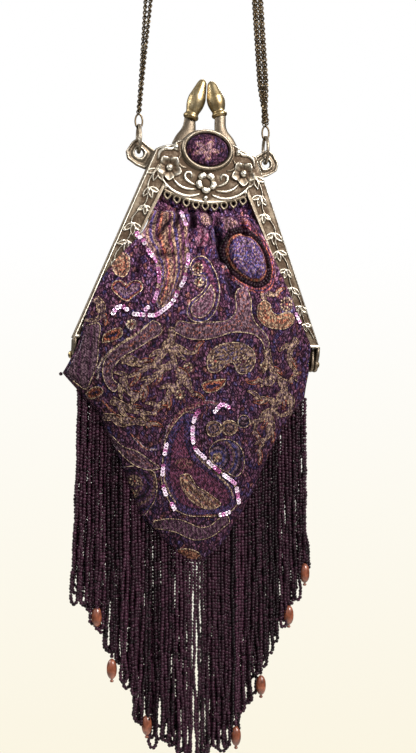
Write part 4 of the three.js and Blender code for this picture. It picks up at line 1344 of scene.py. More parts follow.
    def oval_share(self, u: Array, v: Array) -> Array:
        """Distance from the middle of the padded oval, 1 on its edge; egg-shaped, fuller at its lower end.

        Args:
            u, v: places on the front.
        Returns:
            The share at each place.
        """
        du, dv = u - self.oval_at[0], v - self.oval_at[1]
        along = (du * math.cos(self.oval_turn) + dv * math.sin(self.oval_turn)) / self.oval_half[0]
        across = (-du * math.sin(self.oval_turn) + dv * math.cos(self.oval_turn)) / self.oval_half[1]
        return np.hypot(along, across * (1 + 0.1 * along))

    def across(self, u: Array, v: Array) -> Array:
        """Place across the front, from -1 at the left edge to 1 at the right edge."""
        left, right = self.column("left", v), self.column("right", v)
        return np.clip((u - (left + right) / 2) / np.maximum((right - left) / 2, 0.1), -1, 1)

    def gathers(self, s: Array, v: Array) -> Array:
        """Folds down from the pierced edge: rounded ridges with sharp valleys that fade and drift apart.

        Args:
            s: place across the front, from -1 to 1.
            v: level.
        Returns:
            The height at each place.
        """
        fade = smooth_step(v, -100, -48) * (1 - smooth_step(v, -40.5, -37.0))
        drift = s * (1 - 0.0022 * (v + 40)) + 0.05 * np.sin(v / 13.0)
        fold = np.abs(np.sin(3.85 * np.pi * drift + 0.5 + 0.8 * np.sin(2.6 * s))) ** 0.75 - 0.62
        small = 0.3 * np.sin(13.0 * np.pi * drift + 1.3 + v / 9.0) * smooth_step(v, -78, -46)
        return 3.7 * fade * (fold + small)

    def valleys(self, u: Array, v: Array) -> Array:
        """Depth of the single creases: each a bell across the distance from its route.

        Args:
            u, v: places on the front.
        Returns:
            The depth at each place.
        """
        flat = np.stack(np.broadcast_arrays(u, v), -1).reshape(-1, 2)
        total = np.zeros(len(flat))
        for depth, half, route in self.creases:
            line = spline(route, 14)
            span = np.ptp(line, axis=0) / 2 + 3 * half
            near = np.flatnonzero((np.abs(flat - line.mean(axis=0)) < span).all(axis=1))
            gap = np.linalg.norm(flat[near, None] - line[None], axis=-1).min(axis=1)
            total[near] = np.maximum(total[near], depth * np.exp(-((gap / half) ** 2)))
        return total.reshape(np.broadcast_shapes(np.shape(u), np.shape(v)))

    def front(self, u: Array, v: Array, padded: bool = True) -> Array:
        """How far the front stands forward.

        A boxy swell between the edges carries the gathers, single valleys, soft creases and the padded oval.

        Args:
            u, v: places on the front.
            padded: with the padded oval.
        Returns:
            The distance in front of the split.
        """
        s = self.across(u, v)
        share = (s + 1) / 2
        edge = self.column("edge_left", v) * (1 - share) + self.column("edge_right", v) * share
        swell = np.sqrt(np.clip(1 - np.abs(s) ** 3.4, 0, 1))
        depth = edge + (self.column("front", v) - edge) * swell
        calm = np.clip(1 - s**2, 0, 1)
        crease = 0.55 * np.sin(u / 9.5 + v / 17.0) * np.sin(v / 23.0 + 0.7)
        crease = crease + 0.35 * np.sin(u / 5.5 - v / 8.0 + 1.0)
        crease = crease * smooth_step(v, -236, -170) * (1 - smooth_step(v, -44, -38)) * calm
        slant = ((u + 24) * 0.78 + (v + 84) * 0.62) / 5.0
        pull = 1.5 * np.exp(-(slant**2)) * np.exp(-(((v + 78) / 24) ** 2))
        r = self.oval_share(u, v)
        quiet = 1 - 0.85 * np.exp(-(r**4))
        folds = self.gathers(s, v) * calm**0.4 - self.valleys(u, v) * calm**0.3 + crease + pull * calm
        if padded:
            dent = 1.8 * np.exp(-((r - 1.06) / 0.14) ** 2)
            return depth + folds * quiet + 4.4 * np.sqrt(np.clip(1 - np.minimum(r, 1) ** 2.6, 0, 1)) - dent
        return depth + folds * quiet - 1.8 * np.exp(-((r - 1.0) / 0.4) ** 2)

    def back(self, s: Array, v: Array) -> Array:
        """How far the back stands behind the split: the same boxy swell with softer gathers."""
        swell = np.sqrt(np.clip(1 - np.abs(s) ** 3.2, 0, 1))
        return self.column("back", v) * swell + 0.8 * self.gathers(s * 0.97, v) * (1 - s**2)

    def on_front(self, u: Array, v: Array, lift: float | Array) -> Array:
        """Points lifted off the front along its own normal, in the part's frame.

        Args:
            u, v: places on the front.
            lift: height over the cloth.
        Returns:
            The points.
        """
        step = 0.25
        depth = self.front(u, v)
        slope_u = (self.front(u + step, v) - self.front(u - step, v)) / (2 * step)
        slope_v = (self.front(u, v + step) - self.front(u, v - step)) / (2 * step)
        normal = unit(np.stack([-slope_u, -np.ones_like(depth), -slope_v], -1))
        off = np.asarray(lift)[..., None] * normal
        return hung(u + off[..., 0], -depth + off[..., 1], v + off[..., 2])

    def normal(self, u: Array, v: Array) -> Array:
        """Outward direction of the front at each place, in the part's frame."""
        return unit(self.on_front(u, v, 1.0) - self.on_front(u, v, 0.0))


class Dye(Enum):
    """Yarn colours of the paisley, as sRGB hex."""

    RUST = "#a8624a"
    KHAKI = "#8e765e"
    GOLD = "#d2bd98"
    MAUVE = "#7c606e"
    PLUM = "#58364e"
    NAVY = "#433f6c"
    UMBER = "#72594e"
    STRAW = "#b49c7c"
    WINE = "#743c50"
    ASH = "#6e5860"
    DARK = "#221420"

    def shade(self) -> Array:
        """Linear colour of the yarn."""
        return np.array(linear(self.value)[:3])


@dataclass(frozen=True)
class Stripes:
    """Yarns in turn, by the distance along a direction or from a middle."""

    pitch: float
    dyes: tuple[Dye, ...]
    across: Pair = (1.0, 0.0)
    middle: Pair | None = None

    def pick(self, u: Array, v: Array) -> Array:
        """Number of the yarn at each place.

        Args:
            u, v: places on the front.
        Returns:
            A number for each.
        """
        if self.middle is None:
            far = (u * self.across[0] + v * self.across[1]) / math.hypot(*self.across) + 500
        else:
            far = np.hypot(u - self.middle[0], v - self.middle[1])
        return (far / self.pitch).astype(int) % len(self.dyes)


RUST, KHAKI, GOLD, MAUVE, PLUM, NAVY, UMBER, STRAW, WINE, ASH, DARK = Dye

# Layers of a figure from its edge inward: depth, yarn, fleck yarn and share of flecks
LEAF_LAYERS = ((0.0, KHAKI, RUST, 0.5), (0.9, RUST, DARK, 0.25), (2.1, DARK, NAVY, 0.4))
BAND_LAYERS = ((0.0, ASH, MAUVE, 0.45), (1.2, PLUM, ASH, 0.3), (1.9, ASH, RUST, 0.14))
TWIN_LAYERS = ((0, UMBER, KHAKI, 0.4), (1.6, DARK, NAVY, 0.4), (2.4, UMBER, ASH, 0.4))
SPRAY_LAYERS = ((0.0, ASH, STRAW, 0.4),)

# Closed figures, the lower ones first: outline, layers, stripes and yarn of the outline
FIGURES = (
    # teardrop by the left arm
    (((-58.2, -69.8), (-56, -65), (-51, -63.5), (-46, -66.5), (-45.3, -70.5), (-46, -75.8),
     (-48.5, -78.6), (-52.5, -77.5), (-55.5, -72.4)), ((0, KHAKI, RUST, 0.3), (1.5, UMBER, DARK, 0.35),
     (2.6, KHAKI, RUST, 0.35)), None),
    # heart
    (((-46.6, -83.9), (-50, -81), (-54, -82), (-55, -85.6), (-51.5, -89.5), (-46.6, -92.6), (-41.5, -89),
     (-37.5, -85), (-38, -81.6), (-41.5, -80.4), (-44.5, -81.6)), ((0, RUST, DARK, 0.3),
     (1.1, PLUM, NAVY, 0.4), (2.2, ASH, MAUVE, 0.4), (3.9, NAVY, DARK, 0.3)), None),
    # curled drop and the drop inside it
    (((-9.7, -70.8), (-7.8, -66.3), (-2.6, -64), (1.9, -66.5), (5.4, -71.5), (7.6, -77.6), (8.6, -84.5),
     (7.6, -91.5), (5.2, -97.6), (1, -101.6), (-4.5, -102.6), (-9, -100.5), (-10.6, -96), (-8.6, -91),
     (-4, -87), (-0.5, -83), (0.5, -78.5), (-1.5, -75), (-5, -75.2), (-8.5, -74)), ((0, PLUM, NAVY, 0.4),
     (1.2, DARK, NAVY, 0.3), (1.9, PLUM, WINE, 0.4)), None),
    (((3.3, -80.2), (5.6, -85.4), (5, -91.6), (2.2, -97), (-2.4, -100), (-6.6, -99.1), (-8.3, -95.8),
     (-6.5, -91.4), (-2.2, -87.7), (0.9, -84)), ((0, MAUVE, ASH, 0.4), (1.8, WINE, MAUVE, 0.4),
     (2.6, MAUVE, ASH, 0.5)), None),
    # khaki drop at the right
    (((33, -91), (36, -88), (40, -90), (41, -94), (45, -96), (50, -94.5), (55, -95), (56, -99),
     (51, -103.6), (44, -104.2), (37, -102.5), (33, -98)), ((0, KHAKI, RUST, 0.3),
     (1.8, STRAW, KHAKI, 0.5), (3, KHAKI, RUST, 0.45)), None),
    # bands over the middle and at the left
    (((-18, -108.7), (-9, -112.5), (-1, -112.8), (8, -111), (16, -108), (25, -107.5), (32, -109),
     (36, -112.5), (38.5, -118), (40.5, -114), (38, -108), (33, -103), (29, -96), (27.5, -86), (24, -81),
     (20, -82), (18.6, -88), (19, -95), (15, -100), (8, -102), (0, -102.5), (-6, -103.5), (-11, -103),
     (-15, -102.5)), BAND_LAYERS, None),
    (((-31, -103), (-37, -109), (-43, -114), (-50, -118.5), (-55, -123), (-58, -129), (-58, -136),
     (-55, -142), (-51, -145), (-48.5, -141), (-52, -138), (-53, -133), (-51, -129), (-46, -124),
     (-39, -119.5), (-32, -114.5), (-25, -108.5), (-27, -104.5)), BAND_LAYERS, None),
    (((-69, -108), (-62, -106), (-61.5, -118), (-62, -130), (-64.5, -138), (-67, -144), (-72, -141),
     (-78, -135), (-75, -128), (-71.5, -120)), BAND_LAYERS, Stripes(1.5, (ASH, PLUM, ASH, MAUVE))),
    # small leaves
    (((-59.3, -117), (-58.8, -113.4), (-54.5, -109.7), (-48.6, -108.8), (-48.2, -111.8), (-52.8, -115.5)),
     LEAF_LAYERS, None),
    (((-66.6, -146.8), (-64, -143.6), (-59, -142.8), (-57.3, -144.7), (-60.6, -148.5), (-65, -149.3)),
     LEAF_LAYERS, None),
    (((0.3, -139), (4, -137), (8.5, -136.4), (14.6, -136), (12.6, -140), (7.8, -143), (2.4, -143)),
     LEAF_LAYERS, None),
    # crescent
    (((3, -127.5), (3.4, -121.6), (7.4, -117), (12.4, -114.7), (19.4, -113.7), (25.4, -114.7),
     (30.4, -118.2), (32, -123.4), (30.3, -128.8), (26.4, -131.6), (22, -131.4), (20, -128.6),
     (18.3, -125.4), (15, -126), (12, -129.4), (8, -131.7), (4.4, -131)), ((0, ASH, KHAKI, 0.5),
     (1.4, KHAKI, NAVY, 0.3)), None),
    # double leaf and round
    (((4.2, -165), (5.5, -161.6), (9.5, -160.6), (13.2, -162.6), (13.4, -166.4), (10, -169.4),
     (6, -168.6)), TWIN_LAYERS, None),
    (((13.8, -163.5), (15.4, -160.6), (19, -159.8), (22.6, -161.8), (22.8, -165.6), (19.4, -168.4),
     (15.4, -167.6)), TWIN_LAYERS, None),
    (((23.4, -160), (25, -157), (28.4, -156.6), (30.6, -159), (30, -162.4), (27, -163.8), (24.2, -162.8)),
     ((0, DARK, NAVY, 0.4), (1.2, ASH, DARK, 0.4)), None),
    # scroll drop
    (((7, -177), (9.4, -173.4), (16.3, -171), (22.4, -172.6), (27, -177.3), (28.8, -183.5), (28, -190),
     (24.6, -193), (18, -190.4), (12, -187), (8, -183)), ((0, PLUM, NAVY, 0.3),), Stripes(1.6,
     (PLUM, UMBER, NAVY, ASH, DARK), middle=(12.0, -182.0))),
    # great drop between the sequin rows, its patch and its striped leaf
    (((-2, -156), (-8, -155.5), (-14, -161), (-18, -167.5), (-20.4, -175), (-21, -185), (-21, -196),
     (-17, -206), (-12, -213), (-4, -216.6), (6, -217.2), (16, -216.4), (22, -214.4), (26.5, -209),
     (25.5, -202), (21, -195.5), (9, -187), (1, -180.5), (-3, -173), (-4.2, -165)), ((0, PLUM, DARK, 0.4),
     (1.0, NAVY, PLUM, 0.45), (2.3, PLUM, NAVY, 0.4), (4.2, DARK, NAVY, 0.3), (5.0, PLUM, WINE, 0.4)),
     None),
    (((-14, -186), (-12, -183), (-6, -182.6), (-2, -185), (-3, -188.6), (-9, -189.6)),
     ((0, WINE, UMBER, 0.4),), None, PLUM),
    (((-9.6, -192.8), (-5.2, -192.2), (0.4, -199.2), (6.6, -202.6), (13, -207), (15.8, -210),
     (13.2, -211.9), (7, -212.6), (1.6, -210.4), (-3.8, -206.4), (-7.6, -201.4), (-9.6, -196.8)),
     ((0, KHAKI, RUST, 0.3),), Stripes(1.1, (KHAKI, UMBER, STRAW, ASH), (18.0, 23.0))),
    # curled drop at the lower left and the band over it
    (((-46, -190), (-40, -188.5), (-32, -188), (-26, -191), (-23.6, -198), (-24, -207), (-28, -215),
     (-31.6, -219), (-35.4, -210), (-41, -200)), ((0, PLUM, NAVY, 0.3),), Stripes(1.9,
     (DARK, PLUM, UMBER, PLUM), middle=(-37.0, -199.0))),
    (((-57, -163), (-54.5, -171), (-47.6, -177.7), (-41.5, -184.3), (-36, -188), (-26, -190),
     (-22.6, -189), (-29, -184), (-36.7, -179), (-43.4, -177), (-50, -171)), BAND_LAYERS, None),
    # wavy band and patch at the point
    (((-23.4, -220.2), (-15.5, -218.8), (-7.6, -219.5), (-2.4, -221.5), (2.8, -223.6), (9.8, -223),
     (15, -218.6), (19.4, -216), (22, -220.7), (18.6, -223.7), (13.3, -228.2), (7.2, -230.8),
     (1.2, -231.3), (-4, -229.7), (-10.2, -226.8), (-18, -225.2), (-24.2, -223.7)), BAND_LAYERS,
     Stripes(1.3, (ASH, PLUM), (1.0, 0.25))),
    (((-12, -239), (-6, -237), (0, -237.4), (5, -240), (6.5, -243), (2, -243.5), (-6, -242)),
     ((0, KHAKI, RUST, 0.5),), None),
    # patches among the gathers
    (((-3, -37.5), (3, -38), (4, -43), (0, -46), (-4, -43)), ((0, MAUVE, KHAKI, 0.5),), None, PLUM),
    (((8, -40), (15, -39), (19, -43), (17, -48), (11, -47)), ((0, UMBER, MAUVE, 0.5),), None, PLUM),
    (((-8, -49), (-3, -47), (1, -51), (-1, -58), (-6, -58)), ((0, MAUVE, WINE, 0.5),), None, PLUM),
    (((4, -44), (8, -46), (9, -53), (5, -56), (2, -51)), ((0, NAVY, ASH, 0.4),), None, PLUM),
    (((22, -38), (27, -41), (30, -47), (27, -49), (22, -45)), ((0, MAUVE, RUST, 0.4),), None, PLUM),
)
# Level, left edge and right edge of the tall striped drop, and its yarns from left to right
RIBBON_EDGES = (
    (-38, -33, -14.5), (-46, -37, -12.8), (-55, -37.5, -11.4), (-62, -33, -11.4), (-70, -29.2, -11.8),
    (-80, -28.6, -13.8), (-90, -29, -20), (-95, -27, -25.5),
)
RIBBON_DYES = (
    MAUVE, UMBER, NAVY, KHAKI, PLUM, RUST, KHAKI, UMBER, WINE, KHAKI,
    NAVY, UMBER, PLUM, UMBER,
)
# Routes of the branching sprays
SPRAYS = (
    ((-18.5, -107), (-19.2, -117), (-17, -126.4), (-13.7, -134), (-12.6, -140)),
    ((-19, -116), (-23, -120), (-27, -126), (-34.5, -131.5), (-41, -135), (-47, -137)),
    ((-17, -127), (-23, -131), (-30, -137), (-35, -143), (-36, -149)),
    ((-47.5, -127), (-41.6, -125.6), (-36, -128)),
    ((-52, -150), (-46, -152.5), (-41.4, -155), (-34.5, -156.5), (-25.5, -157)),
    ((-13, -139), (-18, -143), (-22, -150), (-28, -153)),
    ((-47, -137), (-44, -143), (-40, -148), (-41, -154)),
    ((-19, -117), (-13, -119), (-8, -121), (-3, -119.5)),
    ((-14, -133), (-9, -135.5), (-6.6, -141.6), (-4, -146)),
    ((-56, -160), (-48, -160), (-41, -163), (-35, -161), (-29, -165)),
    ((39, -117), (41, -124), (45, -131), (51, -135), (58, -135)),
    ((45, -131), (42, -137), (34, -134.6)),
    ((51, -135), (52, -143), (47, -149), (40, -146), (33, -146)),
    ((58, -110), (54, -117), (55, -125), (60, -130)),
    ((52, -143), (58, -147), (56, -154), (48, -157)),
    ((47, -149), (43, -156), (36, -160), (34, -168)),
    ((43, -156), (46, -164), (41, -172), (37, -179)),
    ((-64, -92), (-60, -96), (-61, -102), (-66, -106)),
    ((34, -80), (40, -84), (45, -84)),
)
# Single lines
LINES = (
    # half width, yarn, route
    (1.5, WINE, ((-20, -172), (-17, -164), (-11, -156), (-3, -151.5), (5, -149.4), (12, -150.4))),
    (0.6, RUST, ((-40.5, -169), (-36.3, -173.2), (-31.9, -177.3), (-25, -178.3))),
    (0.6, RUST, ((-58, -150), (-53, -155), (-47, -160))),
    (0.6, RUST, ((-0.6, -217.2), (9.8, -216.7), (22, -215.5))),
    (0.5, GOLD, ((-19.5, -190.6), (-18.8, -196.5), (-15.5, -203.6), (-11.8, -209))),
    (0.5, GOLD, ((-1.8, -179), (3.6, -185), (9.9, -189.6), (16, -195.2), (21.4, -200.6), (23.8, -206.8))),
    (0.6, GOLD, ((-31, -103), (-39, -110.5), (-47, -116), (-54, -121.5), (-60, -129), (-61, -138))),
)
# Middle and radius of the small flowers
ROSETTES = (
    (51, -89.2, 4.6), (-43, -105.8, 3.0), (-8.4, -129.4, 3.4), (24.6, -124.4, 4.2), (-12.4, -145.5, 3.2),
    (-4.9, -71, 3.4), (-3.8, -79.2, 2.8), (38, -127, 2.6), (-36, -197, 3.4), (-36.4, -204.6, 2.8),
    (11.6, -182, 2.4), (8.0, -125.0, 3.2),
)


@dataclass
class Weave:
    """Paisley woven into the front: each figure is a curve, its yarns changing with the distance from it."""

    u: Array
    v: Array
    form: ClothForm
    seed: int = 11
    figures: tuple = FIGURES
    ribbon_edges: tuple = RIBBON_EDGES
    ribbon_dyes: tuple = RIBBON_DYES
    sprays: tuple = SPRAYS
    lines: tuple = LINES
    rosettes: tuple = ROSETTES
    # a horn of a spray, along and across its own direction
    horn: tuple = ((-0.1, 0.2), (0.3, 0.2), (0.66, 0.06), (1.0, -0.4), (0.62, -0.22), (0.28, -0.12),
                   (-0.1, -0.2))

    def __post_init__(self) -> None:
        """Starts with bare ground."""
        count = len(self.u)
        self.grain = np.random.default_rng(self.seed).random(count)
        self.colour = np.ones((count, 3))
        self.ground = np.ones(count)
        self.lift = np.zeros(count)
        self.outlines: list[tuple[Array, Dye, bool]] = []

    def measure(self, line: Array, margin: float, closed: bool) -> tuple[Array, Array, Array]:
        """Places near a line, their distance from it and how far along it they are.

        Args:
            line: flat points of the line.
            margin: how far round the line to look.
            closed: the line joins its own start; the distance is then positive inside and negative outside.
        Returns:
            Numbers of the places, distances and distances along.
        """
        low, high = line.min(axis=0) - margin, line.max(axis=0) + margin
        near = np.flatnonzero((self.u > low[0]) & (self.u < high[0]) & (self.v > low[1]) & (self.v < high[1]))
        start = line if closed else line[:-1]
        end = np.roll(line, -1, axis=0) if closed else line[1:]
        step = end - start
        size = np.maximum(np.linalg.norm(step, axis=1), 1e-9)
        p = np.stack([self.u[near], self.v[near]], -1)[:, None]
        t = np.clip(((p - start) * step).sum(-1) / size**2, 0, 1)
        gap = np.linalg.norm(p - start - t[..., None] * step, axis=-1)
        best = gap.argmin(axis=1)
        own = (np.arange(len(near)), best)
        reach = (np.cumsum(size) - size)[best] + t[own] * size[best]
        gap = gap[own]
        if closed:
            gap = np.where(within(p[:, 0], line), gap, -gap)
        return near, gap, reach

    def lay(self, places: Array, dye: Dye, fleck: Dye | None = None, share: float = 0.3,
            lift: Array | float = 0.16, cover: Array | float = 1.0) -> None:
        """Weaves places in one yarn with flecks of another.

        Args:
            places: numbers of the places, or a mark for each place of the front.
            dye, fleck: the yarn and its flecks.
            share: share of flecks.
            lift: how far it stands out.
            cover: how much of what lies under it is covered.
        """
        if places.dtype == bool:
            places = np.flatnonzero(places)
        colour = np.tile(dye.shade(), (len(places), 1))
        if fleck is not None:
            colour[self.grain[places] < share] = fleck.shade()
        cover = np.broadcast_to(cover, len(places))
        under = np.where(self.ground[places, None] > 0.99, colour, self.colour[places])
        self.colour[places] = under + (colour - under) * cover[:, None]
        self.ground[places] *= 1 - cover
        self.lift[places] += (lift - self.lift[places]) * cover

    def stitch(self, places: Array, gap: Array, reach: Array, dye: Dye) -> None:
        """Weaves a thin dotted outline: it covers as a bell of the distance, in beats along the line."""
        cover = np.exp(-((gap / 0.4) ** 2)) * (0.62 + 0.38 * np.cos(2 * np.pi * reach / 2.1))
        self.lay(places, dye, lift=0.3, cover=cover)

    def figure(self, outline: Array | tuple, layers: tuple, stripes: Stripes | None, edge: Dye = GOLD,
               merged: bool = False) -> None:
        """Closed figure: layers of yarn from its edge inward, or stripes; its outline is kept for a thread.

        Args:
            outline: flat points round it.
            layers: depth from the edge, yarn, fleck yarn and share of flecks, from outside in.
            stripes: yarns that take the place of the layers.
            edge: yarn of the outline.
            merged: its outline joins those of the other merged figures.
        """
        curve = spline((*outline, outline[0]), 8 * len(outline))[:-1]
        near, gap, _ = self.measure(curve, 1.5, True)
        for depth, dye, fleck, share in layers:
            self.lay(near[gap > depth], dye, fleck, share)
        if stripes is not None:
            inside = near[gap > 0]
            pick = stripes.pick(self.u[inside], self.v[inside])
            for k, dye in enumerate(stripes.dyes):
                self.lay(inside[pick == k], dye, layers[0][2], 0.12)
        self.outlines.append((curve, edge, merged))

    def stroke(self, half: float, dye: Dye, route: tuple) -> None:
        """Line of even width along a smooth route, pointed at both ends.

        Args:
            half: half its width.
            dye: its yarn.
            route: points along it.
        """
        near, gap, reach = self.measure(spline(route, 10 * len(route)), half + 1.0, False)
        wide = half * np.sin(np.pi * np.clip(reach / max(reach.max(), 1e-9), 0.04, 0.96)) ** 0.4
        self.lay(near[gap < wide], dye, KHAKI)

    def spray(self, route: tuple) -> None:
        """Branch that narrows to its tip, with curved horns on both sides that grow out of it.

        Args:
            route: points along the branch.
        """
        line = spline(route, 16)
        ahead = unit(np.gradient(line, axis=0))
        side = np.stack([-ahead[:, 1], ahead[:, 0]], -1)
        wide = np.linspace(2.1, 0.5, len(line))[:, None]
        stem = np.concatenate([line + wide * side, (line - wide * side)[::-1]])
        self.figure(stem, SPRAY_LAYERS, None, STRAW, True)
        horns = max(2, int(reach_along(line)[-1] / 6.0))
        along, across = np.array(self.horn).T[..., None]
        for k, place in enumerate(np.linspace(3, 14, horns).astype(int)):
            hand = 1 if k % 2 else -1
            out = unit(ahead[place] * math.cos(0.95) + hand * side[place] * math.sin(0.95))
            over = np.array([-out[1], out[0]]) * hand
            horn = line[place] + (8.4 - 1.1 * (k % 3)) * (along * out + across * over)
            self.figure(horn, SPRAY_LAYERS, None, RUST if k % 2 else STRAW, True)

    def rosette(self, u: float, v: float, radius: float) -> None:
        """Small flower: a dark round with a ring of pale dots and a rust heart.

        Args:
            u, v: its middle.
            radius: its size.
        """
        r, turn = np.hypot(self.u - u, self.v - v), np.arctan2(self.v - v, self.u - u)
        self.lay(r < radius, DARK, PLUM, 0.4, 0.1)
        dots = np.cos(round(2.6 * radius) * turn) > -0.25
        self.lay((np.abs(r - 0.8 * radius) < 0.55) & dots, GOLD, KHAKI, 0.3, 0.3)
        petals = np.cos(5 * turn) > -0.3
        self.lay((np.abs(r - 0.42 * radius) < 0.4) & petals, GOLD, KHAKI, 0.4, 0.3)
        self.lay(r < 0.6, RUST, None, 0, 0.3)

    def ribbon(self) -> None:
        """Tall striped drop that runs up into the gathers: its yarns share the width between its edges."""
        level, left, right = np.array(self.ribbon_edges, float).T
        near = np.flatnonzero((self.v < level[0]) & (self.v > level[-1]))
        low = smooth_at(self.v[near], level, left)
        wide = smooth_at(self.v[near], level, right) - low
        share = (self.u[near] - low) / np.maximum(wide, 0.1)
        pick = np.floor(share * len(self.ribbon_dyes)).astype(int)
        for k, dye in enumerate(self.ribbon_dyes):
            self.lay(near[pick == k], dye, KHAKI if k % 2 else PLUM)
        for side, dye in ((0.0, GOLD), (0.26, DARK), (0.62, DARK), (1.0, GOLD)):
            off = (share - side) * wide
            rim = np.abs(off) < 1.0
            self.stitch(near[rim], off[rim], self.v[near[rim]], dye)

    def oval(self) -> None:
        """Padded oval: a speckled violet field with a rust edge, in rings of rust, wine and black."""
        r = self.form.oval_share(self.u, self.v)
        rings = ((1.46, WINE, RUST), (1.4, DARK, NAVY), (1.34, RUST, WINE), (1.27, DARK, PLUM),
                 (0.98, RUST, KHAKI), (0.9, DARK, PLUM), (0.86, NAVY, PLUM))
        lower = (self.u > 20) | (self.v < -70)
        for size, dye, fleck in rings:
            self.lay((r < size) & (lower | (size < 1.3)), dye, fleck, 0.42, 0.1)
        across, along = self.u * 1.5 + 2 * np.sin(self.v * 0.7), self.v * 1.4 + 2 * np.sin(self.u * 0.6)
        wave = np.sin(across) * np.sin(along)
        self.lay((r < 0.82) & (wave > 0.25), ASH, NAVY, 0.4, 0.1)
        self.lay((r < 0.82) & (np.abs(wave) < 0.09), KHAKI, NAVY, 0.4, 0.2)

    def build(self) -> "Weave":
        """Weaves every figure, the lower ones first, and paints shade into the folds and creases.

        Returns:
            The weave itself.
        """
        for route in self.sprays:
            near, gap, _ = self.measure(spline(route, 60), 6.0, False)
            self.lay(near, DARK, PLUM, 0.5, 0.0, 0.5 * np.clip(1 - (gap / 6.0) ** 2, 0, 1))
        for route in self.sprays:
            self.spray(route)
        for row in self.figures:
            self.figure(*row)
        self.ribbon()
        for row in self.lines:
            self.stroke(*row)
        for row in self.rosettes:
            self.rosette(*row)
        self.oval()
        # painted shade: places in the gathers' valleys and the single creases are woven towards the dark yarn
        # by their depth
        folds = np.clip(-self.form.gathers(self.form.across(self.u, self.v), self.v) / 1.7, 0, 1) ** 1.5
        sunk = np.maximum(np.clip(self.form.valleys(self.u, self.v) / 3.2, 0, 1), 0.55 * folds)
        deep = np.flatnonzero(sunk > 0.05)
        self.lay(deep, DARK, None, 0, self.lift[deep], 0.95 * sunk[deep])
        return self


